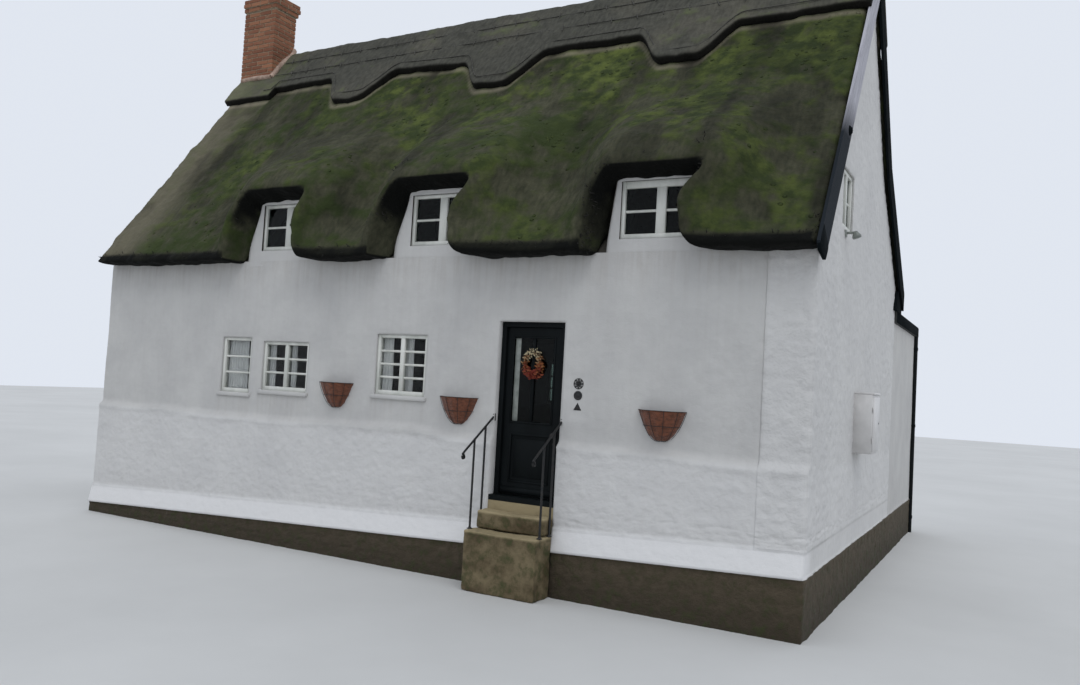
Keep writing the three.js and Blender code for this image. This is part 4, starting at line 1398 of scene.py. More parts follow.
@dataclass
class Walls(Assembly):
    """Limewashed walls: coats on all sides, and the white aprons round the eyebrow windows."""

    corner_pier: float = 2.65
    window_holes: tuple[Hole, ...] = (
        Hole(-5.00, -4.43, 1.96, 2.73), Hole(-4.21, -3.38, 2.02, 2.69), Hole(-2.24, -1.46, 2.07, 2.83))
    door_reveal: float = 0.058
    gable_hole: Hole = Hole(1.20, 1.86, 4.23, 4.90)
    rear_holes: tuple[Hole, ...] = (Hole(4.78, 5.62, 1.96, 2.73), Hole(1.98, 2.82, 1.96, 2.73))
    wing_hole: Hole = Hole(-1.74, -0.90, 1.96, 2.73)
    # flat patch behind the cast ornaments
    calm: Hole = Hole(0.56, 0.68, 2.02, 2.40)
    # tops of the coats: front, rear, rear under its lower eyebrow window, and extension
    front_top: float = 3.79
    rear_top: float = 4.07
    sill_top: float = 3.92
    wing_top: float = 3.558
    # corner and depth of the extension
    wing_left: float = -0.48
    wing_back: float = 8.90

    def build(self) -> None:
        """Makes the coats and paints the solids behind them."""
        self._front_and_gable()
        self._rear_and_extension()
        for roof, side in ((FRONT_ROOF, "front"), (REAR_ROOF, "rear")):
            for number, middle in enumerate(roof.dormers):
                self._apron(roof, middle, f"apron_{side}_{number + 1}")
        self._party_side()
        self.paint_solids(LIMEWASH, "party_wall")
        # the solids behind the coats get dark plaster, painted shade that keeps the rooms dim
        self.paint_solids(
            PLASTER_IN_PAINTED_SHADE, "front_wall_left", "front_wall_right", "front_wall_over_door", "right_gable_wall",
            "rear_wall", "extension_walls")
        self.paint_solids(STEP_STONE, "front_wall_under_door")
        self.paint_solids(BOARDS, "ground_floor", "upper_floor", "extension_floor")

    def _party_side(self) -> None:
        """Plain coat on the outer side of the party wall, with the section of the front's foot."""
        side = Joiner(0.0, Matrix.Rotation(math.pi / 2, 4, "Z"))
        foot = float(base_line(LEFT_END))
        band_top = foot + BAND_HEIGHT
        wall = [(HOUSE_DEPTH, 0.0), (HOUSE_DEPTH, 4.04), (4.083, 5.39), (RIDGE_Y, 7.40), (0.0, 3.75)]
        front = [(0.0, LEDGE[1]), (-0.048, LEDGE[0]), (-0.058, band_top), (-0.116, foot), (-0.083, foot)]
        side.prism([(-0.083, 0.0), *wall, *front], -LEFT_END - 0.003, -LEFT_END + 0.006)
        self.make("limewash_party_side", side.mesh(), [LIMEWASH], slot="limewash")

    def _front_profile(self, s: Array, z: Array) -> Array:
        """How far the front's own footing, band, lower wall and ledge stand proud of the wall face.

        Args:
            s, z: places along and up the coat.

        Returns:
            Distances in metres.
        """
        x = s + LEFT_END
        foot = base_line(x)
        wander = 0.022 * np.sin(x * 1.7) + 0.014 * np.sin(x * 4.1 + 1.0)
        wander = wander + 0.07 * np.exp(-((x + 1.8) / 0.7) ** 2)
        lower, upper = LEDGE[0] + wander, LEDGE[1] + wander
        plinth = 0.05 * (1 - ease((z - lower) / (upper - lower)))
        plinth = np.maximum(plinth, 0.05 * (1 - np.clip((z - LEDGE[0]) / (LEDGE[1] - LEDGE[0]), 0, 1)))
        plinth = plinth + 0.012 * np.exp(-((z - lower - 0.01) / 0.035) ** 2)
        band = 0.12 + (0.062 - 0.12) * np.clip((z - foot) / BAND_HEIGHT, 0, 1)
        own = np.where(z < foot, 0.085, np.where(z < foot + BAND_HEIGHT + 0.001, band, plinth))
        own = np.where((x < PARTY_END - 1e-6) & (z > LEDGE[1]), own - 0.003, own)
        joint = np.abs(x - self.corner_pier) < 0.006
        return own - np.where(joint & (z > LEDGE[1]), 0.003, 0.0)

    def _front_rough(self, s: Array, z: Array) -> Array:
        """How coarse the relief is: rubble below the ledge and at the corner, nearly smooth above.

        Args:
            s, z: places along and up the coat.

        Returns:
            Heights of the relief in metres.
        """
        x = s + LEFT_END
        around = s - (RIGHT_END - LEFT_END)
        foot = base_line(x)
        lower = 0.010 * (1 - ease((z - LEDGE[0] - 0.02) / 0.12))
        upper = 0.0035 + 0.004 * ease((x - 1.6) / 1.0)
        pier = np.where(x > self.corner_pier, 0.017, 0.0)
        side = 0.016 - 0.006 * ease((around - 0.5) / 1.2)
        rough = np.maximum(np.maximum(lower, upper), np.where(around > 0, side, pier))
        rough = np.where((z < foot + BAND_HEIGHT) & (z > foot), 0.005, rough)
        return np.where(z < foot, 0.02, rough)

    def _front_and_gable(self) -> None:
        """Front wall and gable wall in one coat that turns the corner."""
        corner = RIGHT_END - LEFT_END

        def top(s: Array) -> Array:
            """Height of the coat's top: level along the front, and under the slopes on the gable."""
            y = np.maximum(np.asarray(s) - corner, 0.0)
            slope = np.where(y < RIDGE_Y, FRONT_ROOF.inner_height(y), REAR_ROOF.inner_height(HOUSE_DEPTH - y))
            return np.where(np.asarray(s) <= corner, self.front_top, np.maximum(slope + 0.03, self.front_top))

        holes = [hole.moved(-LEFT_END) for hole in self.window_holes]
        holes.append(Hole(DOORWAY[0], DOORWAY[1], -1.0, DOORWAY[2], self.door_reveal).moved(-LEFT_END))
        holes.append(self.gable_hole.moved(corner))
        pier = self.corner_pier - LEFT_END
        party = PARTY_END - LEFT_END
        corners = [(LEFT_END, 0.0), (RIGHT_END, 0.0), (RIGHT_END, HOUSE_DEPTH)]
        near_pier = [pier + d for d in (-0.012, -0.004, 0.004, 0.012)]
        Coat("limewash_front_and_gable", corners, holes, top, self._front_rough, self._front_profile,
             lambda s: base_line(np.asarray(s) + LEFT_END),
             stops=[*near_pier, party, party + 0.004, corner - 0.012, corner + 0.012], levels=LEDGE,
             band_from=-1.0, band_to=corner + 0.25, calm=[self.calm.moved(-LEFT_END)], lower_to=99.0,
             pier_from=pier).build()

    def _rear_and_extension(self) -> None:
        """Extension's three sides and the rear wall in one coarser coat."""
        left, back = self.wing_left, self.wing_back
        corners = [(RIGHT_END, HOUSE_DEPTH), (RIGHT_END, back), (left, back), (left, HOUSE_DEPTH),
                   (LEFT_END, HOUSE_DEPTH)]
        to_back = back - HOUSE_DEPTH
        to_house = to_back + RIGHT_END - left + back - HOUSE_DEPTH

        def top(s: Array) -> Array:
            """Height of the coat's top: under the flat roof, and under the eaves of the rear wall."""
            x = left - (np.asarray(s) - to_house)
            high = np.where(np.abs(x - REAR_ROOF.dormers[0]) < 0.58, self.sill_top, self.rear_top)
            return np.where(np.asarray(s) <= to_house + 1e-6, self.wing_top, high)

        holes = [self.wing_hole.moved(to_back + RIGHT_END)]
        holes += [hole.moved(to_house + left) for hole in self.rear_holes]
        Coat("limewash_rear_and_extension", corners, holes, top,
             lambda s, z: np.where(z < 0.60, 0.018, np.where(s > to_house, 0.008, 0.0015)),
             lambda s, z: np.zeros_like(s * z), lambda s: np.full_like(np.asarray(s, float), 0.60),
             spacing=0.06, seed=31).build()

    def _apron(self, roof: RoofSide, middle: float, name: str) -> None:
        """White apron of an eyebrow window, wider at its foot, wrapped back at its sides.

        Args:
            roof: slope that the window is in.
            middle: X of the window's middle.
            name: name of the piece.
        """
        foot = 3.72 if roof.sign > 0 else 3.80
        levels = fill_stops([foot, DORMER_SILL + 0.003, DORMER_HEAD - 0.003, 4.625], 0.05)
        half = np.interp(levels, *zip(*APRON))
        half = half + (0.10 if middle < 0 else 0.0) * ease((DORMER_HEAD - levels) / 0.64)
        clear = DORMER_HALF - 0.003
        inner = fill_stops([-clear, clear], 0.05)
        beside = 5
        columns = [-half + (half - clear) * k / beside for k in range(beside)]
        columns += [np.full_like(levels, x) for x in inner]
        columns += [clear + (half - clear) * k / beside for k in range(1, beside + 1)]
        x = middle + np.array([columns[0], *columns, columns[-1]]).T
        z = np.broadcast_to(levels[:, None], x.shape)
        waves = noise(places(x, 0.0, z).reshape(-1, 3), (0.5, 0.5, 0.4), 71).reshape(x.shape)
        proud = 0.006 + 0.003 * (1 + waves)
        proud[:, 1] = proud[:, -2] = 0.002
        proud[:, 0] = proud[:, -1] = -0.13
        points = places(x, roof.face - roof.sign * proud, z)
        keep = np.ones((x.shape[0] - 1, x.shape[1] - 1), bool)
        window = (levels[:-1] > DORMER_SILL) & (levels[1:] < DORMER_HEAD)
        keep[np.ix_(window, range(beside + 1, beside + len(inner)))] = False
        wear = {"grime": 0.3, "fresh": 0.1, "harsh": 0.15}
        numbers = {key: np.full(x.shape, value) for key, value in wear.items()}
        sheet = Sheet(points[:, ::roof.sign], keep, numbers=numbers)
        self.make(name, sheet.mesh(), [LIMEWASH], slot="limewash")


@dataclass
class ThatchSlope(Assembly):
    """One thatched slope: the solid's form remeshed, with lumps, combed stems and rounded brows."""

    node: str
    name: str
    roof: RoofSide
    finish: Straw
    voxel: float = 0.042
    mossy: float = 1.0
    seed: int = 3

    def build(self) -> None:
        """Makes the slope and puts it on the house."""
        mesh = remeshed(self.node, self.voxel, 9)
        normals = read_normals(mesh)
        points = self._roll_cheeks(read_points(mesh))
        points = points + normals * self._lumps(points)[:, None]
        points[:, 0] = np.clip(points[:, 0], LEFT_END + 0.008, RIGHT_END + VERGE - 0.002)
        write_points(mesh, points)
        set_numbers(mesh, **self._wear(points, read_normals(mesh)))
        self.make(self.name, mesh, [self.finish], slot="thatch", replaces=[self.node])

    def _roll_cheeks(self, points: Array) -> Array:
        """Pushes the rounded roll of straw beside each eyebrow window a little over its frame.

        Args:
            points: vertices of the slope.

        Returns:
            The moved vertices.
        """
        moved = points.copy()
        lip = self.roof.face - self.roof.sign * 0.33
        for middle in self.roof.dormers:
            left = (-1, -0.22 if middle < 0 else -0.12, 4.05, (0.36, 0.55, 0.6))
            right = (1, 0.25 if middle < -3 else 0.33, 4.12, (0.55, 0.30, 0.50))
            for side, push, level, size in (right, left):
                centre = np.array([middle + side * 0.62, lip, level])
                share = ease(1.3 - np.linalg.norm((points - centre) / size, axis=1))
                moved[:, 0] -= side * push * share
                moved[:, 1] -= self.roof.sign * 0.15 * max(push, 0.0) * share
            centre = (middle, lip + self.roof.sign * 0.1, 4.74)
            brow = ease(1.4 - np.linalg.norm((points - centre) / (0.75, 0.55, 0.3), axis=1))
            moved[:, 2] -= (0.06 if middle > 0 else 0.02) * brow
        return moved

    def _unrolled(self, points: Array) -> Array:
        """Places on the slope laid flat: along the roof and up the slope."""
        return places(points[:, 0], points[:, 1] * 0.6 * self.roof.sign + points[:, 2] * 0.8, 0.0)

    def _lump(self, points: Array) -> Array:
        """Lumps of a quarter of a metre, from about -1 to 1."""
        return noise(self._unrolled(points), (0.26, 0.36, 1.0), self.seed + 5, 3)

    def _lumps(self, points: Array) -> Array:
        """Height of sagging, lumps and combed stems along the normal.

        Args:
            points: vertices of the slope.

        Returns:
            Heights in metres.
        """
        flat = self._unrolled(points)
        sag = 0.022 * noise(flat, (0.95, 1.3, 1.0), self.seed, 2)
        comb = 0.010 * noise(flat, (0.11, 0.16, 1.0), self.seed + 9, 2)
        depth = (points[:, 1] - self.roof.face) * self.roof.sign
        over = points[:, 2] - self.roof.inner_height(depth)
        outer = np.where(depth < 0.0, 1.0, ease((over - 0.06) / 0.2))
        return (sag + 0.026 * self._lump(points) + comb) * outer

    def _wear(self, points: Array, normals: Array) -> dict[str, Array]:
        """Moss, fresh growth, bare straw under the ridge, and dark cut faces with painted shade.

        Args:
            points, normals: vertices of the slope, and their normals.

        Returns:
            The numbers that the materials read.
        """
        x, z = points[:, 0], points[:, 2]
        high = ease((z - 4.3) / 3.0)
        old_corner = ease((-6.35 - x) / 0.8)
        patches = noise(points, (0.85, 0.8, 0.8), self.seed + 20, 3)
        moss = 0.22 + 0.22 * high + 0.42 * patches + 0.07 * ease(x / 2.0)
        moss = (moss - 0.2 * old_corner) * self.mossy
        fresh = noise(points, (0.7, 0.9, 0.9), self.seed + 30, 2)
        growth = 0.32 + 0.4 * high + 0.8 * fresh - 0.4 * ease((-5.0 - x) / 1.0)
        down = (RIDGE_OUTER - z) / math.sin(FRONT_PITCH)
        bare = 0.65 * ease(1 - np.abs(down - Ridge.reach(x) - 0.05) / 0.10) + 0.35 * old_corner
        # painted shade on top of the dark of cut straw: downward faces, the eaves lip, the brow cheeks and
        # the hollows between lumps are darkened, the slope darkens towards its right end, and dark streaks
        # run down it
        facing_down = ease((-normals[:, 2] - 0.2) / 0.4)
        lip = ease((-normals[:, 1] * self.roof.sign - 0.6) / 0.2) * ease((3.93 - z) / 0.07)
        cheek = ease((np.abs(normals[:, 0]) - 0.55) / 0.3) * (z < 4.9) * (x < RIGHT_END)
        hollow = 0.32 * ease(-1.6 * self._lump(points)) + 0.18 * ease((x - 0.2) / 2.0)
        runs = 0.34 * ease(-2.2 * noise(self._unrolled(points), (0.40, 1.6, 1.0), self.seed + 40, 2))
        cut = np.clip(facing_down + 0.9 * lip + 0.2 * cheek + hollow + runs, 0, 1)
        growth, bare = np.clip(growth, 0, 1), np.clip(bare, 0, 1)
        return {"moss": moss * (1 - cut), "growth": growth, "bare": bare, "cut": cut}


# Middles of the scallops of the ridge
SCALLOPS = (-4.55, -1.83, 0.97)


@dataclass
class Ridge(Assembly):
    """Block-cut ridge of a second layer of straw, with three scallops, held by lines of split hazel rods."""

    thick: float = 0.10
    spacing: float = 0.036

    @staticmethod
    def reach(x: Array) -> Array:
        """How far the ridge comes down the slope at a place along the roof.

        Args:
            x: places along the roof.

        Returns:
            Distances in metres.
        """
        nearest = np.min([np.abs(x - middle) for middle in SCALLOPS], axis=0)
        scallop = 1 - ease((nearest - 0.22) / 0.50)
        corner = np.where(x <= -6.5, 0.22, 0.0)
        return 1.15 + 0.65 * scallop + corner - 0.11 * ease((-2.6 - x) / 1.8)

    @staticmethod
    def _on_slope(x: Array, down: Array, height: float, side: int) -> Array:
        """Places laid out on a slope.

        Args:
            x: places along the roof.
            down: distance from the ridge.
            height: height over the straw of the slope.
            side: the front (1) or the rear (-1).

        Returns:
            The places.
        """
        pitch = FRONT_PITCH if side > 0 else REAR_PITCH
        y = RIDGE_Y - side * (down * math.cos(pitch) + height * math.sin(pitch))
        return places(x, y, RIDGE_OUTER - down * math.sin(pitch) + height * math.cos(pitch))

    def build(self) -> None:
        """Makes the ridge and its rods."""
        self._mat()
        self._rods()

    def _half(self, x: Array, side: int) -> tuple[Array, Array]:
        """Lays out one half, from its hidden foot to just short of the crown.

        Args:
            x: places along the roof.
            side: the front (1) or the rear (-1).

        Returns:
            Rows of points, and how dark each is drawn: the cut face with its painted shade.
        """
        reach = self.reach(x) + 0.035 * noise(places(x, side, 0.0), (0.25, 1, 1), 41, 3)
        thick = self.thick
        # heights over the slope, set-back from the foot and darkness of the rows that round the cut edge, the
        # darkness being painted shade on the cut face
        edge = ((-0.02, 0.03, 1.0), (0.004, 0.0, 1.0), (0.035, 0.004, 1.0), (0.065, 0.006, 1.0),
                (thick - 0.012, 0.010, 0.9), (thick, 0.032, 0.25))
        rows = [self._on_slope(x, reach - back, height, side) for height, back, _ in edge]
        steps = 46
        for k in range(1, steps + 1):
            rows.append(self._on_slope(x, (reach - 0.032) + (0.05 - reach + 0.032) * k / steps, thick, side))
        cut = np.zeros((len(rows), len(x)))
        cut[:len(edge)] = [[dark] for _, _, dark in edge]
        return np.array(rows), cut

    def _mat(self) -> None:
        """The straw layer itself."""
        stops = [LEFT_END + 0.008, -6.5, -6.497, RIGHT_END + VERGE + 0.031]
        x = fill_stops(stops, self.spacing)
        front, front_cut_and_shade = self._half(x, 1)
        rear, rear_cut_and_shade = self._half(x, -1)
        half = len(front)
        peak = places(x, RIDGE_Y, RIDGE_OUTER + self.thick / math.cos(FRONT_PITCH))
        round_off = 5
        crown = []
        for k in range(1, round_off + 1):
            t = k / (round_off + 1)
            crown.append((1 - t) ** 2 * front[-1] + 2 * t * (1 - t) * peak + t * t * rear[-1])
        under = places(x, RIDGE_Y, RIDGE_OUTER - 0.05)[None]
        points = np.concatenate([front, np.array(crown), rear[::-1], under, front[:1]])
        cut = np.concatenate([front_cut_and_shade, np.zeros((round_off, len(x))), rear_cut_and_shade[::-1], np.ones((2, len(x)))])
        flat = points.reshape(-1, 3)
        along = places(flat[:, 0], flat[:, 1] * 0.6 + flat[:, 2] * 0.8, flat[:, 1] * 0.4)
        lift = 0.020 * noise(along, (0.6, 0.9, 0.9), 51, 2) + 0.016 * noise(along, (0.14, 0.2, 0.3), 55, 3)
        lift = lift.reshape(cut.shape) * (1 - 0.5 * cut)
        away = np.zeros_like(points)
        away[1:half] = (0.0, -math.sin(FRONT_PITCH), math.cos(FRONT_PITCH))
        away[half:half + round_off] = (0.0, 0.0, 1.0)
        away[half + round_off:-3] = (0.0, math.sin(FRONT_PITCH), math.cos(FRONT_PITCH))
        points = points + away * lift[..., None]
        patches = noise(flat, (0.7, 0.7, 0.7), 61, 3).reshape(cut.shape)
        near_chimney = ease((-5.9 - points[..., 0]) / 0.8)
        numbers = {"cut": cut, "bare": np.clip(0.2 * near_chimney + 0.25 * patches, 0, 1),
                   "moss": np.clip(0.05 + 0.25 * patches + 0.35 * near_chimney, 0, 1) * (1 - cut),
                   "growth": np.clip(0.3 + 0.5 * patches, 0, 1)}
        mesh = close_holes(Sheet(points, numbers=numbers).mesh())
        self.make("straw_ridge", mesh, [RIDGE_FRONT], slot="ridge_thatch", replaces=["thatch_ridge"])

    def _rods(self) -> None:
        """Split hazel rods along the ridge, and hairpins that cross them."""
        lines = (0.30, 0.66)
        height = self.thick + 0.006
        paths = []
        x = np.arange(LEFT_END + 0.85, RIGHT_END + VERGE, 0.06)
        for side in (1, -1):
            for down in lines:
                wander = 0.012 * noise(places(x, down, side), (0.5, 1, 1), 81)
                paths.append(self._on_slope(x, down + wander, height, side).tolist())
            paths.append(self._on_slope(x, self.reach(x) - 0.17, height, side).tolist())
            for k, start in enumerate(np.arange(LEFT_END + 1.0, RIGHT_END, 0.19)):
                middle = lines[k % 2] + 0.015 * math.sin(k * 3.1)
                ends = np.array([start, start + 0.05 + 0.03 * math.sin(k * 1.7)])
                down = np.array([middle - 0.07, middle + 0.07])
                paths.append(self._on_slope(ends, down, height + 0.006, side).tolist())
        self.make("hazel_rods", bars(paths, 0.007, 6, ROD), [ROD], slot="ridge_thatch")


@dataclass
class MossAndStubble(Assembly):
    """Moss cushions strewn over the slopes, and a fringe of straw ends along the eaves and brows."""

    density: float = 60.0
    seed: int = 5

    def build(self) -> None:
        """Makes the cushions and the fringe on both slopes."""
        cushion = self._cushion()
        stub = self._stub()
        for side, share, straw in (("front", 1.0, THATCH_FRONT), ("rear", 0.35, THATCH_REAR)):
            density = self.density * share
            self._strew(side, "moss_cushions", cushion, density, self._cover, (0.3, 1.1), straw)
            self._strew(side, "straw_fringe", stub, density * 7, self._fringe, (0.6, 1.2), STUBBLE)
        for piece in (cushion, stub):
            bpy.data.objects.remove(piece)

    @staticmethod
    def _cushion() -> Solid:
        """One low lump of moss, 60 mm across."""
        mesh = new_mesh([])
        with edited(mesh) as bm:
            bmesh.ops.create_icosphere(bm, subdivisions=1, radius=0.03)
            for k, vert in enumerate(bm.verts):
                vert.co.z *= 0.16
                vert.co.x *= 1.0 + 0.3 * math.sin(k * 1.9)
                vert.co.y *= 1.0 + 0.3 * math.cos(k * 2.7)
        set_numbers(mesh, moss=0.7, growth=0.25)
        return helper("cushion", mesh)

    @staticmethod
    def _stub() -> Solid:
        """One bundle of straw ends, 45 mm long."""
        mesh = new_mesh([])
        with edited(mesh) as bm:
            bmesh.ops.create_cone(bm, cap_ends=True, segments=4, radius1=0.007, radius2=0.003, depth=0.045)
            for vert in bm.verts:
                vert.co.z += 0.012
                vert.co.x += vert.co.z * 0.5
        return helper("stub", mesh)

    def _strew(self, side: str, name: str, piece: Solid, density: float,
               amount: Callable[[Array, Array, Array, Array], Array], sizes: Pair, finish: Finish) -> None:
        """Strews one kind of piece over one slope.

        Args:
            side: which slope, front or rear.
            name: what is strewn.
            piece: the thing that is copied.
            density: most pieces on a square metre.
            amount: gives the share of the density at each point.
            sizes: smallest and largest scale.
            finish: finish of the pieces.
        """
        mesh = bpy.data.objects[f"straw_slope_{side}"].data.copy()
        moss, cut = (read(mesh.attributes[key].data, "value", 1) for key in ("moss", "cut"))
        set_numbers(mesh, amount=amount(read_points(mesh), read_normals(mesh), moss, cut))
        made = with_modifier(mesh, "NODES", {
            "node_group": STREWN, "Piece": piece, "Density": density, "Smallest": sizes[0],
            "Largest": sizes[1], "Seed": self.seed, "Material": finish.material()})
        self.make(f"{name}_{side}", made, [finish], slot="thatch")

    @staticmethod
    def _cover(points: Array, normals: Array, moss: Array, cut: Array) -> Array:
        """Share of moss cushions: on the upper face, thick where the moss is.

        Args:
            points, normals: vertices of the slope, and their normals.
            moss: how mossy each is.
            cut: how dark each is drawn as cut straw and painted shade; not used.

        Returns:
            Shares from 0 to 1.
        """
        top = ease((normals[:, 2] - 0.35) / 0.2) * (np.abs(points[:, 0]) < 7.4)
        below_ridge = (RIDGE_OUTER - points[:, 2]) / math.sin(FRONT_PITCH) > Ridge.reach(points[:, 0]) + 0.05
        return top * below_ridge * np.clip(moss * 2.0 - 0.4, 0, 1)

    @staticmethod
    def _fringe(points: Array, normals: Array, moss: Array, cut: Array) -> Array:
        """Share of straw ends: along the eaves edge and the brow lips, and none where it is thin.

        Args:
            points: vertices of the slope.
            normals: their normals; not used.
            moss: how mossy each is; not used.
            cut: how dark each is drawn as cut straw and painted shade.

        Returns:
            Shares from 0 to 1.
        """
        outside = (points[:, 1] < -0.1) | (points[:, 1] > HOUSE_DEPTH + 0.1)
        share = np.clip(4.0 * cut * (1 - cut) * (points[:, 2] < 5.0) * (cut > 0.5), 0, 1) * outside
        return np.where(share < 0.3, 0.0, share)


@dataclass
class VergeBoards(Assembly):
    """Boards along the gable's slopes with a turned knob and shaped feet, and the lamp below them."""

    def build(self) -> None:
        """Paints the boards and adds the knob, the feet and the lamp."""
        self.paint_solids(VERGE_WOOD, "verge_board_front")
        self.paint_solids(TARRED, "verge_board_rear")
        face = RIGHT_END + VERGE + 0.032
        trim = Joiner(0.004)
        trim.turned([(0, 0), (0.05, 0), (0.055, 0.01), (0.042, 0.02), (0.03, 0.034), (0, 0.04)],
                    (face - 0.004, 0.91, 5.19), TO_GABLE, 0, 20)
        trim.place = Matrix.Rotation(math.pi / 2, 4, "Z")
        front = [(-0.345, 3.78), (-0.32, 3.715), (-0.07, 3.655), (0.02, 3.765), (0.03, 3.80), (-0.20, 3.98),
                 (-0.30, 3.87)]
        rear = [(5.55, 3.74), (6.18, 3.72), (6.20, 3.92), (5.72, 4.05)]
        trim.prism(front, -face - 0.004, -face + 0.030)
        trim.prism(rear, -RIGHT_END - VERGE, -RIGHT_END + 0.05)
        trim.place = Matrix()
        # lamp on its bracket under the gable window
        trim.block((RIGHT_END - 0.01, 1.32, 4.13), (RIGHT_END + 0.035, 1.40, 4.205), 1)
        trim.block((RIGHT_END + 0.02, 1.345, 4.16), (RIGHT_END + 0.13, 1.375, 4.185), 1)
        trim.turned([(0, 0), (0.022, 0), (0.050, 0.055), (0.048, 0.075), (0, 0.080)],
                    (RIGHT_END + 0.12, 1.36, 4.185), (0.35, 0, -1), 1, 20)
        self.make("verge_knobs", trim.mesh(), [TARRED, FROSTED], slot="black_paint")


@dataclass
class Chimney(Assembly):
    """Brick stack in alternate courses, with three oversailing ones, a mortar fillet and a clay pot."""

    low: Pair = (-7.55, 2.20)
    high: Pair = (-6.80, 2.70)
    seat: float = 6.70
    neck: float = 8.67
    course: float = 0.075
    joint: float = 0.014
    brick_depth: float = 0.1025
    brick_length: float = 0.225
    steps: tuple[float, ...] = (0.025, 0.050, 0.040)
    pot_middle: Pair = (-7.175, 2.45)

    def build(self) -> None:
        """Lays the bricks and sets the pot."""
        courses = round((self.neck - self.seat) / self.course)
        laid = []
        for k in range(courses):
            self._ring(self.seat + k * self.course, 0.0, k % 2 == 0, laid)
        (x0, y0), (x1, y1) = self.low, self.high
        gap = 0.009
        core = Joiner(0.0)
        core.block((x0 + gap, y0 + gap, self.seat), (x1 - gap, y1 - gap, self.neck))
        for k, step in enumerate(self.steps):
            low = self.neck + k * self.course
            self._ring(low, step, k % 2 == 1, laid)
            beyond = step - gap
            core.block((x0 + gap, y0 - beyond, low), (x1 + beyond, y1 + beyond, low + self.course))
        top = self.neck + len(self.steps) * self.course
        # mortar that falls from the pot to the edge of the last course
        core.turned([(0, 0.0), (0.23, 0.0), (0.20, 0.03), (0.15, 0.06), (0.13, 0.09), (0, 0.09)],
                    (*self.pot_middle, top - 0.002))
        bricks = copied(self._brick(), laid, 1.0, BRICK)
        stack = ["chimney_stack"]
        self.make("chimney_bricks", bricks, [BRICK], slot="brick", replaces=stack, smooth=False)
        self.make("chimney_mortar", core.mesh(), [MORTAR], slot="brick", replaces=stack, smooth=False)
        self._pot(top)
        self._fillet()

    @staticmethod
    def _brick() -> Solid:
        """One brick of unit size with worn edges."""
        mesh = new_mesh([])
        with edited(mesh) as bm:
            bmesh.ops.create_cube(bm, size=1.0)
            bmesh.ops.bevel(bm, geom=bm.edges[:], offset=0.035, segments=1, affect="EDGES")
        return helper("brick", mesh)

    def _ring(self, z: float, proud: float, long_first: bool, laid: list[tuple]) -> None:
        """Lays one course round the stack.

        Args:
            z: foot of the course.
            proud: how far it stands beyond the stack.
            long_first: whether the stretchers of the front and rear run through to the corners.
            laid: list that gets the bricks, each as place, turn, size and tint.
        """
        x0, x1 = self.low[0], self.high[0] + proud
        y0, y1 = self.low[1] - proud, self.high[1] + proud
        inset = self.brick_depth + self.joint
        short_x, short_y = (0, inset) if long_first else (inset, 0)
        along_x = [((x0 + short_x, y), (x1 - short_x, y), 0, way) for y, way in ((y0, 1), (y1, -1))]
        along_y = [((x, y0 + short_y), (x, y1 - short_y), 1, way) for x, way in ((x1, -1), (x0, 1))]
        for start, end, axis, inward in along_x + along_y:
            length = math.dist(start, end)
            count = max(1, round(length / self.brick_length))
            pitch = (length + self.joint) / count
            for k in range(count):
                place = len(laid)
                wobble = self._chance(place, 7, 1, 3) - 0.5
                spot = [*start, z + self.course / 2]
                spot[axis] += pitch * (k + 0.5) - self.joint / 2
                spot[1 - axis] += inward * (self.brick_depth / 2 + wobble * 0.004 - 0.001)
                size = [self.brick_depth, self.brick_depth, self.course - self.joint]
                size[axis] = pitch - self.joint
                laid.append((spot, (0.0, 0.0, wobble * 0.02), size, self._chance(place, 3, 2, 9)))

    @staticmethod
    def _chance(x: int, y: int, z: int, seed: int) -> float:
        """One repeatable number from 0 to 1."""
        return float(lattice(np.array([x]), np.array([y]), np.array([z]), seed)[0])

    def _pot(self, top: float) -> None:
        """Turned clay pot with a rolled rim.

        Args:
            top: height that it stands on.
        """
        outer = [(0.122, 0.0), (0.125, 0.03), (0.118, 0.10), (0.114, 0.22), (0.113, 0.30), (0.124, 0.315),
                 (0.125, 0.335), (0.125, 0.362), (0.119, 0.378), (0.104, 0.38), (0.095, 0.37)]
        inner = [(0.093, 0.25), (0.095, 0.05), (0.0, 0.05)]
        pot = Joiner(0.0)
        pot.turned([(0.0, 0.0), *outer, *inner], (*self.pot_middle, top), UP, 0, 40)
        self.make("clay_pot", pot.mesh(), [CLAY], slot="clay", replaces=["chimney_pot"])

    def _fillet(self) -> None:
        """Pinkish mortar fillet where the stack comes out of the straw."""
        def at(x: float, y: float, over: float = 0.0, at_y: Optional[float] = None) -> Point:
            """Place on the ridge's straw, with the height of another depth where one is given."""
            lift = 0.10 / math.cos(FRONT_PITCH) + 0.012
            fall = abs((y if at_y is None else at_y) - RIDGE_Y) * math.tan(FRONT_PITCH)
            return x, y, RIDGE_OUTER + lift - fall + over

        x0, x1 = self.low[0] + 0.05, self.high[0] + 0.005
        y0, y1 = self.low[1] - 0.005, self.high[1] + 0.005
        paths = [
            curved([at(x0, y0), at((x0 + x1) / 2, y0 - 0.008, 0.01, y0), at(x1, y0)], 6),
            curved([at(x1, y0), at(x1 + 0.006, (y0 + RIDGE_Y) / 2),
                    at(x1, RIDGE_Y - 0.05, 0.0, RIDGE_Y - 0.1), at(x1, y1)]),
            curved([at(x1, y1), at(x0, y1)], 6)]
        self.make("mortar_fillet", bars(paths, 0.045, 10, FILLET), [FILLET], slot="brick")


@dataclass(frozen=True)
class Sash:
    """One window: where it is and how it is divided. Curtains are given as shares of its width."""

    name: str
    left: float
    bottom: float = 3.93
    width: float = 0.92
    height: float = 0.64
    columns: int = 2
    rows: int = 2
    mullion: float = 0.06
    head: float = 0.045
    curtains: tuple[Pair, ...] = ()
    sense: Sense = Sense.FRONT
    face: float = 0.0


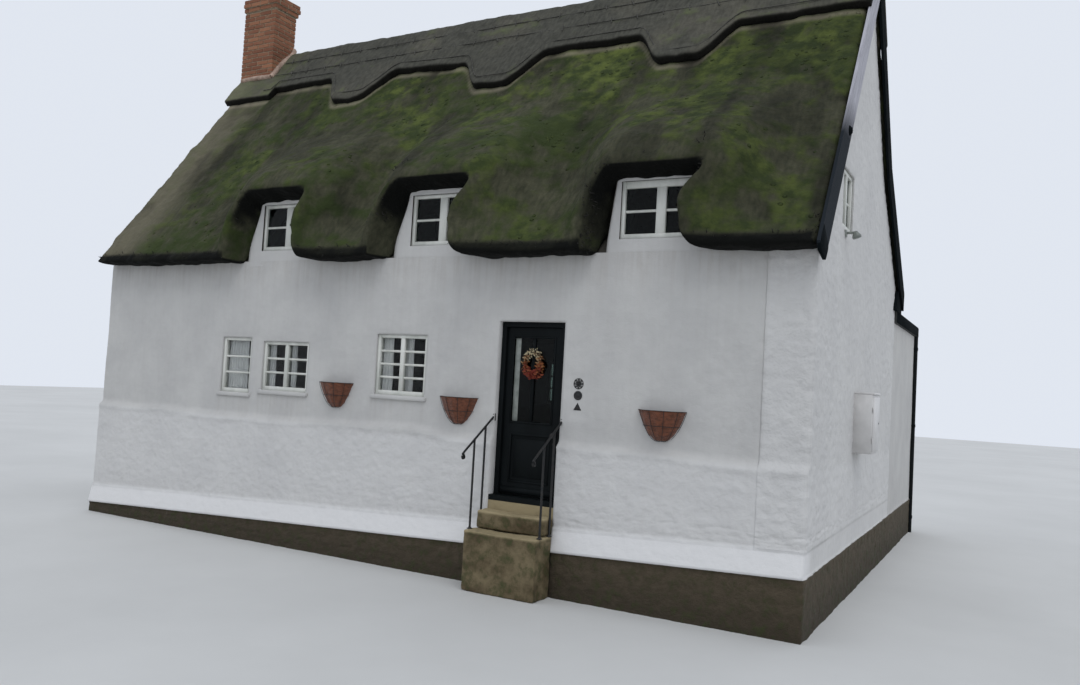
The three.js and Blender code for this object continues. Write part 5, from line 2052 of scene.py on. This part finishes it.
@dataclass
class Windows(Assembly):
    """White softwood windows with glazing bars, sills and, behind the front ones, a strip of curtain."""

    frame_face: float = 0.045
    bottom_rail: float = 0.060
    depth: float = 0.070
    setback: float = 0.015
    bar: float = 0.034
    # folds in a metre of curtain, their depth, and how much cloth there is for the width
    folds: float = 20
    fold: float = 0.022
    fullness: float = 1.9
    curtain_back: float = 0.125
    sashes: tuple[Sash, ...] = (
        Sash("front_window_1", -5.00, 1.96, 0.57, 0.77, 1, 3, curtains=((-0.07, 0.70),)),
        Sash("front_window_2", -4.21, 2.02, 0.83, 0.67, 2, 3, curtains=((-0.05, 0.17), (0.5, 0.61))),
        Sash("front_window_3", -2.24, 2.07, 0.78, 0.76, 2, 4, curtains=((-0.05, 0.24), (0.5, 0.64))),
        Sash("eyebrow_window_1", -4.372, mullion=0.11),
        Sash("eyebrow_window_2", -1.815, mullion=0.11),
        Sash("eyebrow_window_3", 1.015, mullion=0.11, head=0.08),
        Sash("rear_window_1", -4.78, 1.96, 0.84, 0.77, 2, 3, sense=Sense.REAR, face=HOUSE_DEPTH),
        Sash("rear_window_2", -1.98, 1.96, 0.84, 0.77, 2, 3, sense=Sense.REAR, face=HOUSE_DEPTH),
        Sash("rear_eyebrow_window_1", -3.452, mullion=0.11, sense=Sense.REAR, face=HOUSE_DEPTH),
        Sash("rear_eyebrow_window_2", 1.76, mullion=0.11, sense=Sense.REAR, face=HOUSE_DEPTH),
        Sash("gable_window", 1.20, 4.23, 0.66, 0.67, sense=Sense.GABLE, face=RIGHT_END),
        Sash("extension_window", 1.74, 1.96, 0.84, 0.77, 2, 3, sense=Sense.REAR, face=8.90),
    )

    def build(self) -> None:
        """Makes every window."""
        for sash in self.sashes:
            self._window(sash)

    def _window(self, sash: Sash) -> None:
        """Frame, bars, pane, sill and curtain of one window.

        Args:
            sash: the window.
        """
        place = facing(sash.sense, sash.left, sash.face, sash.bottom)
        wood = Joiner(0.004, place)
        w, h, f, b = sash.width, sash.height, self.frame_face, self.bottom_rail
        y0, y1 = self.setback, self.setback + self.depth
        wood.block((0, y0, 0), (f, y1, h))
        wood.block((w - f, y0, 0), (w, y1, h))
        wood.block((f - 0.002, y0 + 0.001, h - sash.head), (w - f + 0.002, y1 - 0.001, h))
        wood.block((f - 0.002, y0 + 0.001, 0), (w - f + 0.002, y1 - 0.001, b))
        lights = [(f, w - f)]
        if sash.columns > 1:
            left, right = w / 2 - sash.mullion / 2, w / 2 + sash.mullion / 2
            wood.block((left, y0 + 0.002, b - 0.002), (right, y1 - 0.002, h - sash.head + 0.002))
            lights = [(f, left), (right, w - f)]
        for low, high in lights:
            self._bars(wood, sash, low, high)
        # only the ground floor has sills
        if sash.bottom < 3:
            wood.block((-0.035, -0.045, -0.050), (w + 0.035, y0 + 0.02, 0.004), 1, 0.006)
        solids = [name for name in (f"{sash.name}_frame", sash.name) if name in frame["nodes"]][:1]
        finishes = [WHITE_PAINT, LIMEWASH]
        self.make(f"{sash.name}_joinery", wood.mesh(), finishes, slot="white_paint", replaces=solids)
        # glass without a curtain behind it is tinted dark, painted shade for the unlit room
        if f"{sash.name}_glass" in frame["nodes"]:
            self.paint_solids(GLASS if sash.curtains else GLASS_IN_PAINTED_SHADE, f"{sash.name}_glass")
        else:
            pane = Joiner(0.0, place)
            middle = (y0 + y1) / 2
            pane.block((f - 0.01, middle - 0.002, b - 0.01), (w - f + 0.01, middle + 0.002, h - f + 0.01))
            self.make(f"{sash.name}_pane", pane.mesh(), [GLASS_IN_PAINTED_SHADE], slot="glass", replaces=solids,
                      smooth=False)
        for number, (start, end) in enumerate(sash.curtains):
            self._curtain(sash, place, f"{sash.name}_curtain_{number + 1}", start * w, end * w)

    def _bars(self, wood: Joiner, sash: Sash, low: float, high: float) -> None:
        """Level glazing bars of one light.

        Args:
            wood: the joinery that gets them.
            sash: the window.
            low, high: sides of the light.
        """
        middle = self.setback + self.depth / 2
        bottom, top = self.bottom_rail, sash.height - sash.head
        heights = [bottom + (top - bottom) * k / sash.rows for k in range(1, sash.rows)]
        paths = [[(low, middle, z), (high, middle, z)] for z in heights]
        wood.add_mesh(bars(paths, self.bar / 2, 6, WHITE_PAINT))

    def _curtain(self, sash: Sash, place: Matrix, name: str, start: float, end: float) -> None:
        """Gathered curtain that hangs inside.

        Args:
            sash: the window.
            place: the window's placement.
            name: name of the piece.
            start, end: its sides along the window.
        """
        z = np.linspace(-0.06, sash.height + 0.04, 14)[:, None]
        u = np.linspace(start, end, round((end - start) * 300))
        fold = self.fold * np.sin(u * 2 * math.pi * self.folds) * (0.75 + 0.25 * np.sin(z * 5))
        points = places(u + 0.006 * np.sin(z * 7), self.curtain_back + fold, z)
        points = points @ np.array(place.to_3x3()).T + np.array(place.translation)
        cloth = with_modifier(Sheet(points).mesh(), "SOLIDIFY", {"thickness": 0.002, "offset": 0.0})
        piece = self.shape(name, cloth, [CURTAIN])
        self.settle(piece, slot="white_paint")


@dataclass
class FrontDoor(Assembly):
    """Black panelled door with a glazed upper half, its frame, furniture and a dried wreath."""

    left: float = -0.375
    right: float = 0.352
    foot: float = 1.026
    face: float = 0.100
    light: tuple[float, float, float, float] = (-0.295, 0.250, 1.860, 2.845)
    panel: tuple[float, float, float, float] = (-0.275, 0.235, 1.180, 1.720)
    wreath_middle: Pair = (-0.020, 2.540)
    wreath_radius: float = 0.098
    wreath_stretch: float = 1.35
    leaf_count: int = 520

    def build(self) -> None:
        """Paints the solids and adds the mouldings, furniture and wreath."""
        # the door and its frame are black paint; the threshold is black too, as painted shade for the dark
        # band under the door
        self.paint_solids(
            BLACK_PAINT, "door_leaf", "door_post_left", "door_post_right", "door_head", "door_threshold")
        # the door's glass is tinted dark, painted shade for the unlit room behind
        self.paint_solids(GLASS_IN_PAINTED_SHADE, "door_glass")
        self.paint_solids(IRON, "door_handle")
        wood = Joiner(0.003)
        for x0, x1, z0, z1 in (self.light, self.panel):
            self._bead(wood, x0, x1, z0, z1)
        y = self.face
        x0, x1, z0, z1 = self.panel
        wood.block((x0 + 0.05, y + 0.001, z0 + 0.05), (x1 - 0.05, y + 0.014, z1 - 0.05), 0, 0.011)
        # upright bar, weather board, spyhole and frosted margin of the glass
        x0, x1, z0, z1 = self.light
        middle = (x0 + x1) / 2 - 0.004
        wood.block((middle - 0.021, y + 0.002, z0), (middle + 0.021, y + 0.019, z1), 0, 0.006)
        wood.block((self.left + 0.008, y - 0.030, self.foot + 0.018),
                   (self.right - 0.008, y + 0.001, self.foot + 0.088), 0, 0.012)
        wood.turned([(0, 0), (0.017, 0), (0.017, 0.003), (0.006, 0.006), (0, 0.006)], (0.292, y, 1.640),
                    TO_FRONT, 1, 16)
        wood.block((x0 + 0.018, y + 0.0155, z0 + 0.012), (x0 + 0.088, y + 0.0185, z1 - 0.012), 2, 0.001)
        self.make("door_mouldings", wood.mesh(), [BLACK_PAINT, IRON, FROSTED], slot="black_paint", body=DOOR)
        self._wreath()

    def _bead(self, wood: Joiner, x0: float, x1: float, z0: float, z1: float) -> None:
        """Moulding round one opening of the leaf.

        Args:
            wood: the mouldings that get it.
            x0, x1: sides of the opening.
            z0, z1: foot and head of the opening.
        """
        near, far, half = self.face - 0.008, self.face + 0.006, 0.012
        for x in (x0, x1):
            wood.block((x - half, near, z0 - half), (x + half, far, z1 + half), 0, 0.005)
        for z in (z0, z1):
            wood.block((x0, near + 0.0005, z - half), (x1, far - 0.0005, z + half), 0, 0.005)

    def _round(self, angle: Array, reach: Array, y: Array) -> Array:
        """Places on the wreath's tall ring."""
        x, z = self.wreath_middle
        return places(x + reach * np.cos(angle), y, z + self.wreath_stretch * reach * np.sin(angle))

    def _wreath(self) -> None:
        """Ring of twigs with dried leaves: cream at the top, ochre at the side, red at the foot."""
        low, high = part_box("door_wreath")
        y = (low[1] + high[1]) / 2
        turn = np.linspace(0, 2 * math.pi, 49)
        paths = []
        for k in range(5):
            reach = self.wreath_radius + 0.010 * np.cos(turn * 5 + k * 1.3)
            paths.append(self._round(turn, reach, y + 0.010 * np.sin(turn * 4 + k * 2.1)).tolist())
        index = np.arange(self.leaf_count)
        chance = [lattice(index, index * 0 + k, index * 0, 77) for k in range(7)]
        angle = chance[0] * 2 * math.pi
        around = chance[1] * 2 * math.pi
        tube = 0.036 * (0.5 + 0.5 * chance[2])
        reach = self.wreath_radius + tube * np.cos(around)
        points = self._round(angle, reach, y - np.abs(np.sin(around)) * tube * 0.9)
        size = (0.7 + 0.9 * chance[6]) * (0.9 - 0.35 * np.sin(angle))
        tint = 0.40 + 0.5 * np.sin(angle) + 0.55 * (chance[2] - 0.5)
        leaf = new_mesh([(0, 0, 0), (0.008, 0.013, 0.003), (0.004, 0.030, 0.0), (-0.006, 0.034, 0.004),
                         (-0.009, 0.014, 0.004)], [], [(0, 1, 2), (0, 2, 3), (0, 3, 4)])
        piece = helper("leaf", with_modifier(leaf, "SOLIDIFY", {"thickness": 0.0012}))
        turns = np.array(chance[3:6]).T * 6.28
        spots = list(zip(points, turns, places(size, size, size), np.clip(tint, 0, 1)))
        leaves = copied(piece, spots, 0.8, WREATH)
        dressed = {"slot": "wreath", "replaces": ["door_wreath"], "body": DOOR}
        self.make("wreath_twigs", bars(paths, 0.006, 6, TWIG), [TWIG], **dressed)
        self.make("wreath_leaves", leaves, [WREATH], smooth=False, **dressed)


@dataclass
class Steps(Assembly):
    """Worn stone steps, soiled and mossy on their risers, splashed with limewash at their ends."""

    voxel: float = 0.014
    # lowest limewash splashes, and where they end on each step, to the right and to the left of the door
    splash_from: float = 0.575
    splash_right: Pair = (0.375, 0.36)
    splash_left: Pair = (-9.0, -0.40)

    def build(self) -> None:
        """Wears each step."""
        for k, node in enumerate(("bottom_step", "middle_step")):
            mesh = remeshed(node, self.voxel, 4)
            points = read_points(mesh)
            normals = read_normals(mesh)
            wear = 0.010 * noise(points, (0.22, 0.2, 0.2), 91 + k, 3)
            wear = wear + 0.004 * noise(points, (0.05, 0.05, 0.05), 95)
            points = points + normals * (wear - 0.004)[:, None]
            tread = ease((normals[:, 2] - 0.5) / 0.3)
            hollow = ease(1 - np.abs(points[:, 0] + 0.01) / 0.35)
            points[:, 2] = np.maximum(points[:, 2] - 0.012 * tread * hollow, 0.0)
            write_points(mesh, points)
            corner = ease((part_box(node)[1][2] - 0.012 - points[:, 2]) / 0.03) * (1 - tread)
            soil = 0.05 + 0.75 * corner + 0.35 * noise(points, (0.3, 0.2, 0.15), 97, 2)
            set_numbers(mesh, soil=np.clip(soil, 0, 1), fresh=0.8)
            middles = np.array([face.center[:] for face in mesh.polygons])
            edge = middles[:, 0] + 0.02 * noise(middles, (0.1, 0.1, 0.1), 99, 2)
            white = (edge > self.splash_right[k]) | (edge < self.splash_left[k])
            white &= middles[:, 2] > self.splash_from
            mesh.polygons.foreach_set("material_index", white.astype(np.int32))
            self.make(f"worn_{node}", mesh, [STEP_STONE, LIMEWASH], slot="step_stone", replaces=[node])


@dataclass
class Rails(Assembly):
    """Forged handrails with two posts each, a wall plate and a curled end."""

    sides: Pair = (-0.455, 0.435)
    radius: float = 0.0125
    top: float = 1.904
    fall: float = 0.665
    end: float = -0.577
    posts: Pair = (-0.376, -0.160)
    foot: float = 0.665
    curl: tuple[Pair, ...] = (
        (0.0, 0.0), (-0.009, -0.020), (0.009, -0.046), (0.007, -0.064), (-0.023, -0.065), (-0.033, -0.038))

    def build(self) -> None:
        """Makes both handrails."""
        for name, x in zip(("handrail_left", "handrail_right"), self.sides):
            end_z = self.top + self.fall * self.end
            rail = [(x, -0.002, self.top), (x, -0.30, self.top - 0.30 * self.fall),
                    *[(x, self.end + y, end_z + z) for y, z in self.curl]]
            posts = [[(x, y, self.foot - 0.01), (x, y, self.top + y * self.fall)] for y in self.posts]
            iron = Joiner(0.002)
            iron.add_mesh(bars([curved(rail), *posts], self.radius, 14, IRON))
            iron.block((x - 0.030, -0.008, self.top - 0.042), (x + 0.030, 0.0, self.top + 0.042))
            rivet = [(0, 0), (0.006, 0), (0.005, 0.004), (0, 0.005)]
            for z in (-0.030, 0.030):
                iron.turned(rivet, (x, -0.008, self.top + z), TO_FRONT, 0, 12)
            for y in self.posts:
                iron.turned([(0, 0), (0.032, 0), (0.032, 0.005), (0.020, 0.010), (0.014, 0.022), (0, 0.022)],
                            (x, y, self.foot - 0.002), UP, 0, 20)
            self.make(f"forged_{name}", iron.mesh(), [IRON], slot="iron", replaces=[name])


@dataclass
class Planters(Assembly):
    """Half-round wall baskets of iron rod with coir liners and compost."""

    spots: tuple[Pair, ...] = ((-2.835, 1.870), (-0.930, 1.790), (1.615, 1.790))
    profile: tuple[Pair, ...] = (
        (0.0, 0.004), (0.07, 0.004), (0.14, 0.06), (0.205, 0.17), (0.252, 0.285), (0.262, 0.312),
        (0.245, 0.318), (0.238, 0.292), (0.0, 0.300))
    rib: tuple[Pair, ...] = (
        (0.0, 0.0), (0.075, 0.001), (0.145, 0.058), (0.211, 0.168), (0.258, 0.285), (0.265, 0.318))
    flatness: float = 200 / 275
    cell: float = 0.016

    def build(self) -> None:
        """Makes the three planters."""
        for k, (x, z) in enumerate(self.spots):
            solid = [f"planter_{k + 1}"]
            liner = self._liner(x, z, k)
            self.make(f"coir_liner_{k + 1}", liner, [COIR, COMPOST], slot="coir", replaces=solid)
            self.make(f"basket_rods_{k + 1}", self._rods(x, z), [IRON], slot="iron", replaces=solid)

    def _round(self, x: float, radius: Array, z: Array, turn: Array, gap: float) -> Array:
        """Places on a half ring in front of the wall."""
        return places(x + radius * np.cos(turn), -gap - self.flatness * radius * np.sin(turn), z)

    def _liner(self, x: float, z: float, seed: int) -> Mesh:
        """Lumpy liner with its compost, closed at the wall.

        Args:
            x, z: middle and foot of the basket at the wall.
            seed: number of its lumps.

        Returns:
            The mesh.
        """
        section = [self.profile[0]]
        for a, b in zip(self.profile, self.profile[1:]):
            steps = max(1, round(math.dist(a, b) / self.cell))
            section += [(a[0] + (b[0] - a[0]) * t / steps, a[1] + (b[1] - a[1]) * t / steps)
                        for t in range(1, steps + 1)]
        turn = np.linspace(0, math.pi, 41)
        radius, level = (np.array(values)[:, None] for values in zip(*section))
        points = self._round(x, radius, z + level, turn, 0.002)
        lump = noise(points.reshape(-1, 3), (0.05, 0.05, 0.04), 101 + seed, 3)
        lump = 0.007 * lump.reshape(points.shape[:2])
        ripple = 0.006 * np.abs(np.sin(turn * 8)) * (radius > 0.1) * (level < 0.30)
        away = places(np.cos(turn), -self.flatness * np.sin(turn), 0.0)
        points = points + away * (lump * (radius > 0.02) - ripple)[..., None]
        points[..., 1] = np.minimum(points[..., 1], -0.002)
        slots = np.zeros((len(section) - 1, len(turn) - 1), np.int32)
        slots[-round(self.profile[-2][0] / self.cell):] = 1
        return close_holes(Sheet(points[:, ::-1], slots=slots).mesh())

    def _rods(self, x: float, z: float) -> Mesh:
        """Rim, hoops and ribs of the basket.

        Args:
            x, z: middle and foot of the basket at the wall.

        Returns:
            The mesh.
        """
        turn = np.linspace(0, math.pi, 31)
        paths = [self._round(x, radius, z + level, turn, 0.004).tolist()
                 for radius, level in ((0.264, 0.316), (0.205, 0.155))]
        for angle in np.linspace(0.02, math.pi - 0.02, 6):
            rib = [self._round(x, radius, z + level, angle, 0.006) for radius, level in self.rib]
            paths.append(curved(rib, 4))
        return bars(paths, 0.0028, 8, IRON)


@dataclass
class WallPieces(Assembly):
    """Cast iron ornaments beside the door, and the meter cabinet."""

    x: float = 0.620
    rosette_z: float = 2.340
    disc_z: float = 2.210
    triangle_z: float = 2.075

    def build(self) -> None:
        """Makes the ornaments and the cabinet."""
        self._rosette()
        disc = Joiner(0.002)
        disc.turned([(0, 0), (0.051, 0), (0.051, 0.010), (0.043, 0.014), (0.036, 0.009), (0.020, 0.009),
                     (0.014, 0.014), (0, 0.014)], (self.x, 0, self.disc_z), TO_FRONT, 0, 28)
        self.make("cast_disc", disc.mesh(), [IRON], slot="iron", replaces=["wall_disc"])
        plate = Joiner(0.003)
        for radius, y0, y1 in ((0.057, -0.009, 0.0), (0.031, -0.014, -0.004)):
            plate.prism([(self.x + radius * math.sin(a), self.triangle_z + radius * math.cos(a))
                         for a in (0, 2.0944, 4.1888)], y0, y1)
        self.make("cast_triangle", plate.mesh(), [IRON], slot="iron", replaces=["wall_triangle"])
        self._cabinet()

    def _rosette(self) -> None:
        """Open rosette of eight petals inside a ring."""
        def at(radius: Array, angle: Array, y: float) -> Array:
            """Places round the rosette's middle."""
            return places(self.x + radius * np.cos(angle), y, self.rosette_z + radius * np.sin(angle))

        half = ((0.011, 0.0), (0.030, 0.22), (0.047, 0.12), (0.052, 0.0))
        petal = [*half, *[(r, -a) for r, a in half[2::-1]]]
        paths = [at(0.057, np.linspace(0, 2 * math.pi, 33), -0.006).tolist()]
        paths += [curved([at(r, 2 * math.pi * k / 8 + a, -0.008) for r, a in petal], 4) for k in range(8)]
        iron = Joiner(0.002)
        iron.add_mesh(bars(paths, 0.0045, 8, IRON))
        middle = [(0, 0), (0.013, 0), (0.012, 0.010), (0, 0.013)]
        iron.turned(middle, (self.x, 0, self.rosette_z), TO_FRONT, 0, 20)
        self.make("cast_rosette", iron.mesh(), [IRON], slot="iron", replaces=["wall_rosette"])

    def _cabinet(self) -> None:
        """Moulded meter cabinet with a flat top, a door, its lock and two hinges."""
        (x0, y0, z0), (x1, y1, z1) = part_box("meter_cabinet")
        case = Joiner(0.010)
        case.block((x0, y0, z0), (x1 - 0.018, y1, z1 - 0.02))
        case.block((x1 - 0.026, y0 + 0.02, z0 + 0.03), (x1 - 0.004, y1 - 0.02, z1 - 0.05))
        case.block((x0, y0, z1 - 0.028), (x1, y1, z1), 0, 0.008)
        lock = [(0, 0), (0.012, 0), (0.012, 0.003), (0, 0.003)]
        case.turned(lock, (x1 - 0.004, y1 - 0.06, z0 + 0.36), TO_GABLE, 1, 16)
        for z in (z0 + 0.12, z1 - 0.24):
            case.block((x1 - 0.014, y0 - 0.002, z), (x1 - 0.006, y0 + 0.016, z + 0.07))
        self.make("moulded_cabinet", case.mesh(), [PLASTIC, IRON], slot="cabinet_plastic",
                  replaces=["meter_cabinet"])


@dataclass
class RearWing(Assembly):
    """Flat felt roof of the extension with its black fascia, and the downpipe's sockets and brackets."""

    sockets: tuple[float, ...] = (0.25, 1.9, 3.3)

    def build(self) -> None:
        """Paints the roof and adds the fascia and the pipe's fittings."""
        self.paint_solids(FELT, "extension_roof")
        self.paint_solids(BLACK_PAINT, "downpipe")
        (x0, y0, z0), (x1, y1, z1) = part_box("extension_roof")
        foot, top, thick = z0 + 0.004, z1 - 0.012, 0.006
        board = Joiner(0.004)
        board.block((x1 - 0.002, y0 + 0.02, foot), (x1 + thick, y1 + thick, top))
        board.block((x0 - thick, y1 - 0.002, foot), (x1 + thick, y1 + thick, top))
        board.block((x0 - thick, y0 + 0.10, foot), (x0 + 0.002, y1 + thick, top))
        low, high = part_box("downpipe")
        x, y, radius = (low[0] + high[0]) / 2, (low[1] + high[1]) / 2, (high[0] - low[0]) / 2
        socket = [(0, 0), (radius + 0.004, 0), (radius + 0.007, 0.006), (radius + 0.007, 0.05),
                  (radius + 0.004, 0.056), (0, 0.056)]
        for z in self.sockets:
            board.turned(socket, (x, y, z), UP, 0, 20)
            board.block((x - radius - 0.002, y - 0.06, z + 0.018), (x - radius + 0.016, y + 0.06, z + 0.040))
        self.make("fascia_and_pipe_fittings", board.mesh(), [TARRED], slot="black_paint")


@dataclass
class Studio:
    """Floor, soft overcast light with a key from the right, and the camera at the photograph's angle."""

    camera_place: Point = (4.914, -8.704, 2.322)
    yaw: float = 0.5050
    pitch: float = 0.0463
    roll: float = 0.0558
    focal: float = 878.446
    image_width: float = 1080.0
    sensor: float = 36.0
    reach: float = 60.0
    sky: str = "#E8EEF8"
    sky_strength: float = 0.93
    key_strength: float = 0.7
    key_spread: float = 35
    key_turn: Point = (24, 20, 0)

    def build(self) -> None:
        """Makes the stage, the lights and the camera."""
        corners = [(x * self.reach, y * self.reach, 0) for x, y in ((-1, -1), (1, -1), (1, 1), (-1, 1))]
        Assembly.shape("studio_floor", new_mesh(corners, [], [(0, 1, 2, 3)]), [FLOOR], smooth=False)
        self._light()
        self._camera()

    @staticmethod
    def _linked(name: str, data: bpy.types.ID) -> Solid:
        """Puts a lamp or a camera into the scene.

        Args:
            name: its name.
            data: the lamp or camera.

        Returns:
            The object.
        """
        made = bpy.data.objects.new(name, data)
        bpy.context.scene.collection.objects.link(made)
        return made

    def _light(self) -> None:
        """Overcast sky light with a very soft key from the right."""
        world = bpy.data.worlds.new("overcast")
        bpy.context.scene.world = world
        world.use_nodes = True
        background = next(node for node in world.node_tree.nodes if node.bl_idname == "ShaderNodeBackground")
        feed(world.node_tree, background, {"Color": self.sky, "Strength": self.sky_strength})
        bpy.context.scene.view_settings.view_transform = "Standard"
        sun = bpy.data.lights.new("soft_key", "SUN")
        sun.energy = self.key_strength
        sun.angle = math.radians(self.key_spread)
        self._linked("soft_key", sun).rotation_euler = [math.radians(turn) for turn in self.key_turn]

    def _camera(self) -> None:
        """Camera at the photograph's place, with the same framing."""
        data = bpy.data.cameras.new("camera")
        data.sensor_fit = "HORIZONTAL"
        data.sensor_width = self.sensor
        data.lens = self.focal / self.image_width * self.sensor
        data.clip_end = 300.0
        camera = self._linked("camera", data)
        right = Vector((math.cos(self.yaw), math.sin(self.yaw), 0.0))
        flat = math.cos(self.pitch)
        ahead = Vector((-math.sin(self.yaw) * flat, math.cos(self.yaw) * flat, math.sin(self.pitch)))
        above = right.cross(ahead)
        side = math.cos(self.roll) * right + math.sin(self.roll) * above
        top = -math.sin(self.roll) * right + math.cos(self.roll) * above
        turn = Matrix((side, top, -ahead)).transposed().to_4x4()
        camera.matrix_world = Matrix.Translation(self.camera_place) @ turn
        bpy.context.scene.camera = camera


def main() -> None:
    """Builds every sub-assembly in order."""
    logging.basicConfig(level=logging.INFO, format="%(message)s")
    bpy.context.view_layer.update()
    slopes = [
        ThatchSlope("thatch_front", "straw_slope_front", FRONT_ROOF, THATCH_FRONT),
        ThatchSlope("thatch_rear", "straw_slope_rear", REAR_ROOF, THATCH_REAR, voxel=0.05, mossy=0.7,
                    seed=23)]
    for part in (Studio(), Walls(), *slopes, Ridge(), MossAndStubble(), VergeBoards(), Chimney(), Windows(),
                 FrontDoor(), Steps(), Rails(), Planters(), WallPieces(), RearWing()):
        part.build()


if __name__ == "__main__":
    main()
